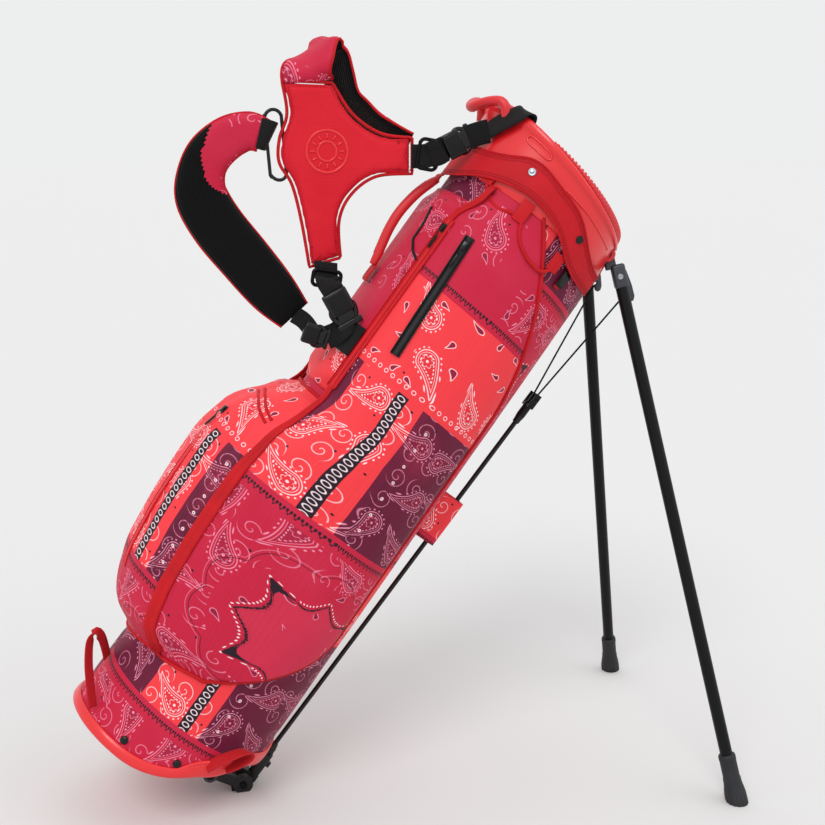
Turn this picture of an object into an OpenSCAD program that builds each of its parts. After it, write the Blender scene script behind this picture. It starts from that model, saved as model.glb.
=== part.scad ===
// Golf stand bag: a lightweight carry bag with folding legs, shown leaning on its opened stand.
// Units are millimetres. The row frame has +X from the kick foot towards the leg feet,
// +Y away from the apparel-pocket side that carries the black zip, and +Z up from the floor.
// The bag frame is the row frame tilted back about Y: a towards the legs, b sideways, c up the bag.

/* [Stand] */
// Lean of the bag's long axis from the vertical, degrees
tilt = 38; // [37.9:0.1:38.1]
// Height of the leg pivots along the bag
pivot_c = 800; // [799:1:801]
// Half the distance between the leg pivots
pivot_b = 43; // [42:1:44]
// Reach of the leg feet along the floor
foot_reach = 580; // [578:1:582]
// Half the distance between the leg feet
foot_spread = 190; // [188:1:192]
// Outer radius of a leg tube
leg_r = 7.5; // [7:0.5:8]
// Outward lean of a folded leg from the bag's back, degrees
fold_out = 8; // [7:1:9]

/* [Body] */
// Front-to-back depth of the body at the base
body_depth = 230; // [228:1:232]
// Half the width of the body
body_half_w = 100; // [99:1:101]
// Thickness of the body's padded fabric wall
wall = 3; // [2.5:0.5:3.5]
// Length of the body along its axis
body_len = 770; // [765:5:775]

/* [Collar] */
// Height of the rim at the middle of the mouth
rim_c = 833; // [831:1:835]
// Fall of the rim for each millimetre towards the legs
rim_fall = 0.23; // [0.21:0.01:0.25]
// Thickness of the collar moulding
collar_wall = 4; // [3.5:0.5:4.5]

/* [Clearances] */
// Radial running clearance of every hinge pin
run = 0.05; // [0.03:0.01:0.08]
// Gap between stacked soft pieces
gap = 0.6; // [0.5:0.1:0.8]

/* [Hidden] */
$fn = 48;

red = "#d81e2a";
coral = "#f0353a";
maroon = "#8c1232";
crimson = "#c8203e";
black = "#17171a";
gunmetal = "#4b4d52";
rubber = "#2a2b2e";

// ---------- frames ----------
function bag_pt(p) = [p[0] * cos(tilt) + p[2] * sin(tilt), p[1], -p[0] * sin(tilt) + p[2] * cos(tilt)];
function bag_dir(v) = bag_pt(v);
function unit(v) = v / norm(v);
module bag() rotate([0, tilt, 0]) children();
// Places children with the given origin and three unit axes.
module place(o, x, y, z) multmatrix([
    [x[0], y[0], z[0], o[0]],
    [x[1], y[1], z[1], o[1]],
    [x[2], y[2], z[2], o[2]],
    [0, 0, 0, 1]]) children();

// ---------- body outline ----------
low_c = 80;
function up(c) = max(0, c - low_c);
function back_a(c) = -3 - 0.035 * up(c);
function front_a(c) = -3 - body_depth - 0.015 * up(c);
function mid_a(c) = (back_a(c) + front_a(c)) / 2;
function half_d(c) = (back_a(c) - front_a(c)) / 2;
function half_w(c) = body_half_w + 0.004 * up(c);
// Point on the body's oval at angle t (0 is the leg side, -90 the near side), pushed out by off.
function on_body(t, c, off) = [mid_a(c) + (half_d(c) + off) * cos(t), (half_w(c) + off) * sin(t), c];
// Bag height at which a point with the given a stands z above the floor.
function c_at(a, z) = (z + a * sin(tilt)) / cos(tilt);

// ---------- general solids ----------
function total(v) = v * [for (x = v) 1];
// Polyhedron whose faces are turned outwards whichever way round they were listed.
module solid(pts, faces) {
    volume = total([for (f = faces) total([for (i = [1 : len(f) - 2])
        pts[f[0]] * cross(pts[f[i]], pts[f[i + 1]])])]);
    polyhedron(pts, volume < 0 ? faces : [for (f = faces) [for (i = [len(f) - 1 : -1 : 0]) f[i]]], convexity = 8);
}
// Closed loft through rings that all have the same number of points.
module loft(rings) {
    n = len(rings[0]);
    m = len(rings);
    pts = [for (r = rings) for (p = r) p];
    sides = [for (i = [0 : m - 2]) for (j = [0 : n - 1])
        let (k = (j + 1) % n)
        [i * n + j, i * n + k, (i + 1) * n + k, (i + 1) * n + j]];
    low = [[for (j = [n - 1 : -1 : 0]) j]];
    high = [[for (j = [0 : n - 1]) (m - 1) * n + j]];
    solid(pts, concat(sides, low, high));
}
// Open tube with a wall, from matching outer and inner rings.
module shell(outer, inner) {
    n = len(outer[0]);
    m = len(outer);
    pts = concat([for (r = outer) for (p = r) p], [for (r = inner) for (p = r) p]);
    o = m * n;
    walls = [for (i = [0 : m - 2]) for (j = [0 : n - 1])
        let (k = (j + 1) % n)
        each [[i * n + j, i * n + k, (i + 1) * n + k, (i + 1) * n + j],
            [o + i * n + k, o + i * n + j, o + (i + 1) * n + j, o + (i + 1) * n + k]]];
    ends = [for (j = [0 : n - 1])
        let (k = (j + 1) % n, e = (m - 1) * n)
        each [[k, j, o + j, o + k], [e + j, e + k, o + e + k, o + e + j]]];
    solid(pts, concat(walls, ends));
}
// Closed sheet between two point grids of the same size.
module slab(front, back) {
    n = len(front[0]);
    m = len(front);
    pts = concat([for (r = front) for (p = r) p], [for (r = back) for (p = r) p]);
    o = m * n;
    faces = [for (i = [0 : m - 2]) for (j = [0 : n - 2])
        each [[i * n + j, i * n + j + 1, (i + 1) * n + j + 1, (i + 1) * n + j],
            [o + i * n + j + 1, o + i * n + j, o + (i + 1) * n + j, o + (i + 1) * n + j + 1]]];
    low = [for (j = [0 : n - 2]) [j + 1, j, o + j, o + j + 1]];
    high = [for (j = [0 : n - 2]) let (e = (m - 1) * n) [e + j, e + j + 1, o + e + j + 1, o + e + j]];
    left = [for (i = [0 : m - 2]) [i * n, (i + 1) * n, o + (i + 1) * n, o + i * n]];
    right = [for (i = [0 : m - 2]) let (e = n - 1) [(i + 1) * n + e, i * n + e, o + i * n + e, o + (i + 1) * n + e]];
    solid(pts, concat(faces, low, high, left, right));
}
function tangent(path, i) = unit(path[min(i + 1, len(path) - 1)] - path[max(i - 1, 0)]);
// Round bar swept along points; side is a direction that is never along the path.
module bar(path, r, side, sides = 10) loft([for (i = [0 : len(path) - 1])
    let (t = tangent(path, i), u = unit(cross(side, t)), v = cross(t, u))
    [for (k = [0 : sides - 1]) path[i] + r * (cos(360 * k / sides) * u + sin(360 * k / sides) * v)]]);
// Flat strap through stations [centre, half-width vector, half thickness].
module strap(stations) {
    path = [for (s = stations) s[0]];
    loft([for (i = [0 : len(stations) - 1])
        let (w = stations[i][1], h = stations[i][2], n = unit(cross(tangent(path, i), w)) * h)
        [for (q = [[-1, -0.4], [-0.9, -1], [0.9, -1], [1, -0.4], [1, 0.4], [0.9, 1], [-0.9, 1], [-1, 0.4]])
            path[i] + q[0] * w + q[1] * n]]);
}
function mix(a, b, f) = a + (b - a) * f;
function smooth(x) = let (q = min(1, max(0, x))) q * q * (3 - 2 * q);

// ---------- base ----------
boot_low = -8;
boot_top = 7;
heel_z = 50;
heel_top_z = 78;
boot_wall = 4;
ring_n = 60;
function base_oval(off) = [for (i = [0 : ring_n - 1])
    let (p = on_body(360 * i / ring_n, 0, off)) [p[0], p[1]]];
module base_prism(off, low, high) translate([0, 0, low]) linear_extrude(high - low) polygon(base_oval(off));
// Everything above a height over the floor, drawn in the bag frame.
module above_floor(z) rotate([0, -tilt, 0]) translate([-500, -300, z]) cube([1000, 600, 600]);

module base_boot() color(coral) bag() difference() {
    intersection() {
        union() {
            base_prism(gap + boot_wall, boot_low + 9, 110);
            base_prism(gap + boot_wall - 3, boot_low + 3, boot_low + 10);
            base_prism(gap + boot_wall - 9, boot_low, boot_low + 4);
        }
        above_floor(heel_z);
    }
    intersection() {
        union() {
            base_prism(gap, boot_low + 9, 120);
            base_prism(gap - 9, boot_low + boot_wall, boot_low + 10);
        }
        above_floor(heel_z + boot_wall);
    }
    intersection() {
        base_prism(20, boot_top, 120);
        above_floor(heel_top_z);
    }
    for (t = rivet_angles) rivet_axis(t) cylinder(r = 2 + run, h = 30, center = true);
}
rivet_angles = [-128, -88, -52, 52, 88, 128];
module rivet_axis(t) {
    p = on_body(t, 0, gap + boot_wall);
    n = unit([cos(t) / half_d(0), sin(t) / half_w(0), 0]);
    c = abs(t) < 60 ? 42 : abs(t) < 100 ? 16 : 3;
    translate([p[0], p[1], c]) rotate([0, 90, atan2(n[1], n[0])]) children();
}
module boot_rivets() color(black) bag() for (t = rivet_angles) rivet_axis(t) {
    translate([0, 0, -boot_wall + 0.3]) cylinder(r = 2, h = boot_wall);
    translate([0, 0, 0.1]) cylinder(r1 = 4.5, r2 = 3.2, h = 1.8);
}

// ---------- kick foot ----------
hinge_a = -46;
hinge_c = 4;
hinge_pt = bag_pt([hinge_a, 0, hinge_c]);
// Pin that joins the foot to the push rod's sleeve.
pin_a = -0.8;
pin_c = 11.5;
link = norm([pin_a - hinge_a, pin_c - hinge_c]);
link_angle = atan2(pin_c - hinge_c, pin_a - hinge_a);
pin_pt = bag_pt([pin_a, 0, pin_c]);
foot_half = 24;
arm_half = 15;
pin_r = 3;
module along_b(a, c, r, b0, b1) translate([a, b0, c]) rotate([-90, 0, 0]) cylinder(r = r, h = b1 - b0);

module heel_bracket() color(gunmetal) difference() {
    union() {
        // Plate screwed to the flat of the heel.
        translate([hinge_pt[0] - 26, -34, heel_z - 5.2]) cube([44, 68, 5]);
        // Two ears that carry the foot's hinge pin.
        for (s = [-1, 1]) translate([hinge_pt[0], s * (foot_half + 4), 0]) {
            translate([-9, -3, hinge_pt[2]]) cube([18, 6, heel_z - 5.2 - hinge_pt[2]]);
            translate([0, -3, hinge_pt[2]]) rotate([-90, 0, 0]) cylinder(r = 9, h = 6);
        }
    }
    translate([hinge_pt[0], -50, hinge_pt[2]]) rotate([-90, 0, 0]) cylinder(r = pin_r + run, h = 100);
}
module heel_pin() color(black) bag() {
    along_b(hinge_a, hinge_c, pin_r, -foot_half - 8, foot_half + 8);
    for (s = [-1, 1]) along_b(hinge_a, hinge_c, 5, s > 0 ? foot_half + 7.1 : -foot_half - 9,
        s > 0 ? foot_half + 9 : -foot_half - 7.1);
}
module kick_foot() color(black) difference() {
    union() {
        for (s = [-1, 1]) {
            b0 = s > 0 ? arm_half + 2 : -foot_half;
            bag() {
                along_b(hinge_a, hinge_c, 8, b0, b0 + foot_half - arm_half - 2);
                along_b(pin_a, pin_c, 12, b0, b0 + foot_half - arm_half - 2);
                translate([hinge_a, b0 + 0.5, hinge_c]) rotate([0, -link_angle, 0]) translate([0, 0, -6.5])
                    cube([link, foot_half - arm_half - 3, 13]);
            }
        }
        // Sole bar that joins the two arms under the rod's end.
        translate([pin_pt[0] - 14, -arm_half - 4, 0]) cube([11.6, 2 * arm_half + 8, 3.5]);
    }
    translate([-100, -100, -50]) cube([200, 200, 50]);
    bag() along_b(hinge_a, hinge_c, pin_r + run, -60, 60);
    bag() along_b(pin_a, pin_c, pin_r + run, -60, 60);
}
module foot_link_pin() color(black) bag() {
    along_b(pin_a, pin_c, pin_r, -foot_half - 1, foot_half + 1);
    for (s = [-1, 1]) along_b(pin_a, pin_c, 4.6, s > 0 ? foot_half + 0.1 : -foot_half - 2,
        s > 0 ? foot_half + 2 : -foot_half - 0.1);
}

// ---------- push rod ----------
rod_a = 10;
rod_r = 3;
sleeve_low = pin_c - 1;
sleeve_top = 54;
yoke_c = 585;
yoke_pin_c = 612;
// How far the foot's pin swings forwards and backwards across the sleeve.
slot_front = 1.1;
slot_back = 4.8;
slot_play = 0.6;
module rod_sleeve() color(black) bag() difference() {
    intersection() {
        union() {
            translate([rod_a, 0, sleeve_low + 8]) cylinder(r = 7.5, h = sleeve_top - sleeve_low - 8);
            translate([pin_a - slot_back - pin_r - 2.6, -6, pin_c - 5.2])
                cube([rod_a - pin_a + slot_back + pin_r + 9, 12, 17]);
            translate([rod_a + 4, -3, 38]) cube([7, 6, 7]);
        }
        above_floor(1.2);
    }
    translate([rod_a, 0, sleeve_low + 14]) cylinder(r = rod_r + run, h = 60);
    // Slot that lets the foot's pin swing while the rod only slides.
    for (d = [-slot_back, slot_front]) along_b(pin_a + d, pin_c, pin_r + slot_play, -20, 20);
    translate([pin_a - slot_back, -20, pin_c - pin_r - slot_play])
        cube([slot_back + slot_front, 40, 2 * (pin_r + slot_play)]);
}
module push_rod() color(black) bag() translate([rod_a, 0, sleeve_low + 14.2])
    cylinder(r = rod_r, h = yoke_c + 6 - sleeve_low - 14.2);
module rod_yoke() color(black) bag() difference() {
    union() {
        translate([rod_a, 0, yoke_c]) cylinder(r = 5.5, h = 20);
        translate([rod_a - 4, -11, yoke_c + 14]) cube([8, 22, 20]);
    }
    translate([rod_a, 0, yoke_c - 1]) cylinder(r = rod_r + run, h = 7.2);
    for (b = [-9, 1.6]) translate([rod_a - 10, b, yoke_pin_c - 9]) cube([20, 7.4, 30]);
    along_b(rod_a, yoke_pin_c, 1.5 + run, -20, 20);
}
module yoke_pins() color(gunmetal) bag() along_b(rod_a, yoke_pin_c, 1.5, -11, 11);

// ---------- legs ----------
// Everything about one leg follows from its side s: -1 near, 1 far.
pivot_a = -44;
leg_offset = 9;
leg_end = 650;
function pivot_pt(s) = bag_pt([pivot_a, s * pivot_b, pivot_c]);
function toe_pt(s) = [foot_reach, s * foot_spread, 9];
function leg_up(s) = unit(pivot_pt(s) - toe_pt(s));
function fold_up(s) = bag_dir([-sin(fold_out), 0, cos(fold_out)]);
function leg_hinge(s) = unit(cross(leg_up(s), fold_up(s)));
function leg_out(s) = cross(leg_hinge(s), leg_up(s));
// Where the stand's wire hooks on: down the leg from its pivot, and out from the pivot's line.
hook_at = 50;
hook_out = 14.5;
hook_y = 9.6;
module leg(s) place(pivot_pt(s), leg_out(s), leg_hinge(s), leg_up(s)) children();
// In the leg's frame x points away from the bag's back when folded, y along the hinge, z up the leg.
module leg_bracket(s) color(gunmetal) leg(s) difference() {
    union() {
        translate([0, -5, 0]) rotate([-90, 0, 0]) cylinder(r = 8, h = 10);
        translate([-8, -5, -14]) cube([16, 10, 14]);
        translate([leg_offset - 8, -8.5, -44]) cube([16.5, 17, 30]);
        // Arm that ends in a hook for the stand's wire.
        translate([leg_offset + 4.2, -s * hook_y - 2, -hook_at - 12]) cube([9.8, 4, 46]);
    }
    translate([0, -30, 0]) rotate([-90, 0, 0]) cylinder(r = pin_r + run, h = 60);
    translate([leg_offset, 0, -64]) cylinder(r = leg_r + 0.02, h = 44);
    translate([leg_offset, -30, -30]) rotate([-90, 0, 0]) cylinder(r = 2 + run, h = 60);
    translate([leg_offset, -s * hook_y - 3, -hook_at - 2]) cube([7.5, 6, 4]);
}
module leg_tube(s) color(black) leg(s) translate([leg_offset, 0, 0]) difference() {
    translate([0, 0, -leg_end]) cylinder(r = leg_r, h = leg_end - 20.2);
    translate([0, 0, -leg_end + 2]) cylinder(r = leg_r - 1.2, h = leg_end);
    translate([0, -30, -30]) rotate([-90, 0, 0]) cylinder(r = 2 + run, h = 60);
}
module leg_rivet(s) color("silver") leg(s) translate([leg_offset, 0, -30]) {
    translate([0, -9, 0]) rotate([-90, 0, 0]) cylinder(r = 2, h = 18);
    for (d = [-1, 1]) translate([0, d * 9.4, 0]) rotate([90, 0, 0]) cylinder(r = 3.4, h = 1.6, center = true);
}
module leg_foot(s) color(rubber) intersection() {
    leg(s) translate([leg_offset, 0, -leg_end]) difference() {
        rotate_extrude() polygon([[0, -60], [13, -60], [13.5, -25], [11.5, -16], [10.5, -6], [10.5, 22],
            [9.5, 24], [0, 24]]);
        translate([0, 0, -0.2]) cylinder(r = leg_r + 0.02, h = 40);
    }
    translate([-1000, -1000, 0]) cube(2000);
}

// ---------- collar ----------
mouth_mid = -128;
function rim_at(a) = rim_c - rim_fall * (a - mouth_mid);
collar_n = 56;
// Ring of the collar at fraction f from its skirt (0) to its rim (1).
function collar_ring(f, off) = [for (i = [0 : collar_n - 1])
    let (t = 360 * i / collar_n,
        p = on_body(t, 780, off + 3 + f),
        q = [p[0] - collar_lean * f, p[1]])
    [q[0], q[1], mix(collar_low, rim_at(q[0]), f)]];
collar_low = body_len + 1;
// How far the rim stands towards the front of the bag, over the skirt.
collar_lean = 7;
module collar() color(coral) {
    steps = [0, 0.25, 0.5, 0.75, 0.86, 0.9, 1];
    lips = [0, 0, 0, 0, 0, 3, 3];
    difference() {
        bag() shell([for (i = [0 : len(steps) - 1]) collar_ring(steps[i], lips[i])],
            [for (i = [0 : len(steps) - 1]) collar_ring(steps[i], -collar_wall)]);
        leg_wells();
    }
}
// Ribbed roll that crowns the rim from the middle of the mouth to the legs.
bead_span = 118;
function bead_rise(t) = 10 * pow(max(0, cos(t * 90 / bead_span)), 0.7);
module ribbed_bead() color(coral) bag() {
    stations = [for (i = [0 : 24]) -bead_span + 2 * bead_span * i / 24];
    loft([for (t = stations)
        let (p = on_body(t, 780, 1), a = p[0] - collar_lean, base = rim_at(a) + 0.6,
            n = unit([cos(t) / half_d(780), sin(t) / half_w(780), 0]),
            h = 2 + bead_rise(t))
        [for (q = [[2.5, 0], [3, 0.5], [1, 0.9], [-3, 1], [-7, 0.9], [-9, 0.5], [-8.5, 0]])
            [a, p[1], base] + n * q[0] + [0, 0, h * q[1]]]]);
}
handle_path = [[-226, -50, 846], [-238, -50, 857], [-247, -45, 861], [-257, -34, 857], [-266, -18, 840],
    [-268, 0, 830], [-266, 18, 840], [-257, 34, 857], [-247, 45, 861], [-238, 50, 857], [-226, 50, 846]];
module grab_handle() color(coral) bag() difference() {
    bar(handle_path, 6.5, [0, 0, 1], 12);
    // Cut flush with the collar's face.
    loft(concat([for (f = [[0, 0.4], [0.5, 0.4], [0.84, 0.4], [0.86, 3.4], [1, 3.4]]) collar_ring(f[0], f[1])],
        [[for (p = collar_ring(1, 3.4)) p + [0, 0, 40]]]));
}
// Moulded cross that splits the mouth into four.
divider_depth = 22;
divider_gap = 5;
module divider_top() color(coral) bag() intersection() {
    translate([mid_a(780) - 4, 0, 700]) for (w = [0, 90]) rotate([0, 0, w])
        translate([-150, -4, 0]) cube([300, 8, 200]);
    loft([for (drop = [divider_depth, 4])
        [for (p = collar_ring(1, -collar_wall - divider_gap)) [p[0], p[1], rim_at(p[0]) - drop]]]);
}
panel = 1.6;
module divider_panels() color(black) bag() intersection() {
    translate([mid_a(400), 0, 60]) {
        translate([-150, -panel / 2, 0]) cube([300, panel, 900]);
        translate([-panel / 2, -150, 0]) cube([panel, 300, 900]);
    }
    loft([
        [for (i = [0 : 47]) on_body(360 * i / 48, 90, -wall - 1)],
        [for (i = [0 : 47]) let (p = on_body(360 * i / 48, 760, -wall - 6)) [p[0], p[1], 790 - 0.2 * (p[0] + 128)]]]);
}

// ---------- body ----------
body_n = 48;
function body_ring(c, off) = [for (i = [0 : body_n - 1]) on_body(360 * i / body_n, c, off)];
function foot_ring(off, low, z) = [for (i = [0 : body_n - 1])
    let (p = on_body(360 * i / body_n, 0, off)) [p[0], p[1], max(low, c_at(p[0], z))]];
module body_shell() color(crimson) {
    heights = [100, 250, 450, 600, 700, body_len];
    foot_low = boot_low + 10;
    foot_z = heel_z + boot_wall + 1;
    difference() {
        bag() shell(concat([foot_ring(0, foot_low, foot_z)], [for (c = heights) body_ring(c, 0)]),
            concat([foot_ring(-wall, foot_low, foot_z)], [for (c = heights) body_ring(c, -wall)]));
        leg_wells();
    }
}
// Reinforced ripstop cuff that covers the joint of body and collar.
function cuff_low(t) = 756 + 22 * pow(abs(sin(t)), 2);
function cuff_high(t) = cos(t) > 0.35 ? 768 + 4 * abs(sin(t)) : 812 - 6 * cos(t) - 20 * smooth((cos(t) + 0.3) / 0.65);
// The cuff stops short of the legs on both sides.
cuff_end = 37;
function cuff_ring(f, off) = [for (i = [0 : collar_n])
    let (t = mix(cuff_end, 360 - cuff_end, i / collar_n), p = on_body(t, 780, off + 3), low = cuff_low(t))
    [p[0], p[1], mix(low, max(low + 10, cuff_high(t)), f)]];
module cuff_band() color(red) bag()
    slab([for (f = [0, 0.5, 1]) cuff_ring(f, 6)], [for (f = [0, 0.5, 1]) cuff_ring(f, 4.6)]);
snap_spots = [[-121, 805], [-75, 788], [121, 805], [75, 788]];
module cuff_snaps() color("silver") bag() for (s = snap_spots) {
    p = on_body(s[0], 780, 9.1);
    n = unit([cos(s[0]) / half_d(780), sin(s[0]) / half_w(780), 0]);
    translate([p[0], p[1], s[1]]) rotate([0, 90, atan2(n[1], n[0])]) cylinder(r1 = 5, r2 = 4, h = 2);
}
module stay_rods() color("white") bag() for (t = [-150, 150, -35, 35]) {
    low = on_body(t, 100, -wall - 3);
    high = on_body(t, 750, -wall - 3);
    d = unit(high - low);
    x = unit(cross([0, 1, 0], d));
    place(low, x, cross(d, x), d) cylinder(r = 2, h = norm(high - low));
}

// ---------- leg hinge block ----------
ear_in = 5.4;
ear_out = 10.4;
// Frame at a leg's pivot that points out of the bag's back: x out, y along the hinge.
function ear_out_dir(s) = let (a = bag_dir([1, 0, 0])) unit(a - (a * leg_hinge(s)) * leg_hinge(s));
module ear(s) place(pivot_pt(s), ear_out_dir(s), leg_hinge(s), cross(ear_out_dir(s), leg_hinge(s))) children();
// Room cut through the collar and the body's back for each leg and its ears.
well_half = ear_out + 2.6;
module leg_wells() for (s = [-1, 1]) ear(s) translate([-30, -well_half, -56]) cube([60, 2 * well_half, 67]);
ear_back = 15;
module leg_hinge_block() color(coral) difference() {
    union() {
        for (s = [-1, 1]) ear(s) {
            for (y = [ear_in, -ear_out]) translate([0, y, 0]) {
                rotate([-90, 0, 0]) cylinder(r = 9.5, h = ear_out - ear_in);
                translate([-ear_back, 0, -9.5]) cube([ear_back, ear_out - ear_in, 19]);
            }
            translate([-ear_back - 4, -ear_out, -24]) cube([4.5, 2 * ear_out, 33.5]);
        }
        // Bar inside the mouth that joins the two pairs of ears.
        bag() translate([pivot_a - ear_back - 5, -pivot_b, pivot_c - 21.5]) cube([5, 2 * pivot_b, 13]);
    }
    for (s = [-1, 1]) leg(s) translate([0, -40, 0]) rotate([-90, 0, 0]) cylinder(r = pin_r + run, h = 80);
}
module leg_pins() color(black) for (s = [-1, 1]) leg(s) {
    translate([0, -ear_out - 1, 0]) rotate([-90, 0, 0]) cylinder(r = pin_r, h = 2 * ear_out + 2);
    for (e = [-1, 1]) translate([0, e > 0 ? ear_out + 0.1 : -ear_out - 1.9, 0]) rotate([-90, 0, 0])
        cylinder(r = 4.6, h = 1.8);
}

// ---------- pockets ----------
// The pockets share one bulging outer form; front_swell and side_swell say how far it stands out.
front_swell_at = [[95, 3], [120, 28], [150, 46], [190, 60], [250, 68], [300, 70], [350, 70], [400, 58],
    [430, 30], [465, 6], [760, 5]];
side_swell_at = [[115, 5], [160, 14], [240, 18], [400, 14], [560, 8], [700, 5], [775, 2]];
box_power = 0.8;
function signed_pow(x, k) = sign(x) * pow(abs(x), k);
function outer_form(t, c) = let (fs = lookup(c, front_swell_at), ss = lookup(c, side_swell_at))
    cos(t) < 0
    ? [mid_a(c) - (half_d(c) + fs) * pow(-cos(t), box_power), (half_w(c) + ss) * signed_pow(sin(t), box_power), c]
    : [mid_a(c) + (half_d(c) + 0.3 * ss) * cos(t), (half_w(c) + ss) * sin(t), c];
// Angle of the seam that runs up the bag between the front and side pockets.
function spine_t(c) = -134 - 11 * smooth((c - 380) / 110) + 11 * smooth((c - 715) / 40);
skin = 1.5;
// Closed pocket between the body and the outer form; fill(u, v) is 0 at a sewn edge and 1 inside.
module pocket(rows, cols, spot, fill) {
    function q(i, j) = spot(j / cols, i / rows);
    slab([for (i = [0 : rows]) [for (j = [0 : cols])
            mix(on_body(q(i, j)[0], q(i, j)[1], gap + skin), outer_form(q(i, j)[0], q(i, j)[1]),
                fill(j / cols, i / rows))]],
        [for (i = [0 : rows]) [for (j = [0 : cols]) on_body(q(i, j)[0], q(i, j)[1], gap)]]);
}
pocket_low = 118;
pocket_high = body_len - 1;
seam_gap = 0.7;
function pocket_back(c) = -38 - 62 * pow(max(0, c - 560) / 214, 1.5) - 70 * pow(max(0, 230 - c) / 112, 2);
function apparel_spot(u, v) = let (c = mix(pocket_low, pocket_high, pow(v, 1.5)))
    [mix(spine_t(c) + seam_gap, pocket_back(c), u), c];
module apparel_pocket() pocket(40, 16, function(u, v) apparel_spot(u, v),
    function(u, v) min(smooth(pow(v, 1.5) / 0.06), smooth((1 - v) / 0.07), sqrt(smooth((1 - u) / 0.12))));
module apparel_pocket_near() color(maroon) bag() apparel_pocket();
module apparel_pocket_far() color(maroon) bag() mirror([0, 1, 0]) apparel_pocket();
ball_low = 96;
ball_high = 462;
module ball_pocket() color(red) bag() pocket(22, 20,
    function(u, v) let (c = mix(ball_low, ball_high, v)) [mix(spine_t(c) - seam_gap, -360 - spine_t(c) + seam_gap, u), c],
    function(u, v) min(smooth(v / 0.05), smooth((1 - v) / 0.05)));
module top_pocket() color(crimson) bag() pocket(14, 14,
    function(u, v) let (c = mix(472, 742, v)) [mix(spine_t(c) - seam_gap, -360 - spine_t(c) + seam_gap, u), c],
    function(u, v) min(smooth(v / 0.08), smooth((1 - v) / 0.08)));

// ---------- carry handle, keeper, cord, labels ----------
tube_path = [[-254.6, 0, 748], [-259, 0, 738], [-264, 0, 722], [-267, 0, 704], [-268, 0, 686], [-266, 0, 666],
    [-262, 0, 648], [-258.5, 0, 634], [-256.8, 0, 622]];
module tube_handle() color(red) bag() bar(tube_path, 6, [0, 1, 0], 10);
module handle_patches() color(black) bag() {
    translate([front_a(750) - 4.2, -11, 744]) cube([3, 22, 11]);
    translate([outer_form(180, 612)[0] - 3.6, -11, 602]) cube([3, 22, 22]);
}
module rod_keeper() color(red) bag() difference() {
    translate([back_a(400) + 1, -9, 388]) cube([rod_a - back_a(400) + 7, 18, 66]);
    translate([rod_a, 0, 380]) cylinder(r = 5, h = 90);
}
module towel_cord() color(red) bag() {
    for (s = [-1, 1]) bar([for (q = [[-122, 768], [-118, 752], [-110, 742], [-102, 752], [-98, 768]])
        on_body(s * q[0], q[1], 6)], 2, [1, 0.2 * s, 0.1], 8);
}
module loop_label() color(black) bag() translate(on_body(-62, 735, 3)) rotate([0, 0, -62])
    cube([2, 14, 18], center = true);
// Station of a strap that stands off the near side, 18 mm wide across the bag.
function on_body_out(t, c, off) = [on_body(t, c, off), [-9 * sin(t), 9 * cos(t), 0], 1];
module pull_loops() color(red) bag() {
    strap([for (q = [[-233, 26, 0], [-246, 40, 0], [-262, 62, 0], [-272, 84, 0], [-262, 96, 0], [-248, 92, 0]])
        [[q[0] - 4, -20, q[1] - 8], [0, 10, 0], 1]]);
    strap([for (q = [[1.5, 26], [6, 42], [15, 58], [19, 71], [12, 78], [4, 74]])
        on_body_out(-78, q[1], q[0] + 5)]);
}

// ---------- zips ----------
function form_normal(t, c) = unit(cross(outer_form(t + 1, c) - outer_form(t - 1, c), [0, 0, 1]));
module zip_tape(ends, half, off) {
    steps = 10;
    strap([for (i = [0 : steps])
        let (f = i / steps, t = mix(ends[0][0], ends[1][0], f), c = mix(ends[0][1], ends[1][1], f),
            n = form_normal(t, c), d = unit(outer_form(t, c + 5) - outer_form(t, c - 5)))
        [outer_form(t, c) + n * off, unit(cross(n, d)) * half, 0.6]]);
}
// Slider and tag of one zip, standing on the tape.
module zip_pull(t, c, off) {
    n = form_normal(t, c);
    d = unit(outer_form(t, c + 5) - outer_form(t, c - 5));
    place(outer_form(t, c) + n * off, n, cross(d, n), d) {
        translate([0, -3.5, -6]) cube([3.5, 7, 12]);
        translate([1.2, -1.6, -30]) cube([1.6, 3.2, 24.2]);
    }
}
valuables_line = [[-121, 552], [-125, 708]];
spine_line = [[-145, 480], [-145, 712]];
ball_line = [[-172, 170], [-172, 396]];
module valuables_zip() color(black) bag() zip_tape(valuables_line, 6, 1.4);
module apparel_zip() color(red) bag() zip_tape(spine_line, 7, 1.4);
module ball_zip() color(red) bag() zip_tape(ball_line, 6, 1.4);
module valuables_pull() color(black) bag() zip_pull(-124.7, 696, 2.4);
module apparel_pull() color(black) bag() zip_pull(-145, 700, 2.4);
module ball_pull() color(black) bag() zip_pull(-172, 384, 2.6);

// ---------- wires ----------
wire_r = 1.2;
// The wire stops this far before its hook, where its end loop is thinner than any solid here.
wire_short = 13.5;
function wire_from(s) = bag_pt([rod_a, s * 4.8, yoke_pin_c]);
function peg_pt(s) = pivot_pt(s) - leg_up(s) * hook_at + leg_out(s) * hook_out - leg_hinge(s) * (s * hook_y);
module wire(s) {
    a = wire_from(s);
    b = peg_pt(s);
    d = unit(b - a);
    side = unit(cross(d, bag_dir([0, 1, 0])));
    bar([a + d * 4, a + d * (norm(b - a) - wire_short)], wire_r, side, 8);
}
module wire_near() color(black) wire(-1);
module wire_far() color(black) wire(1);

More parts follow.
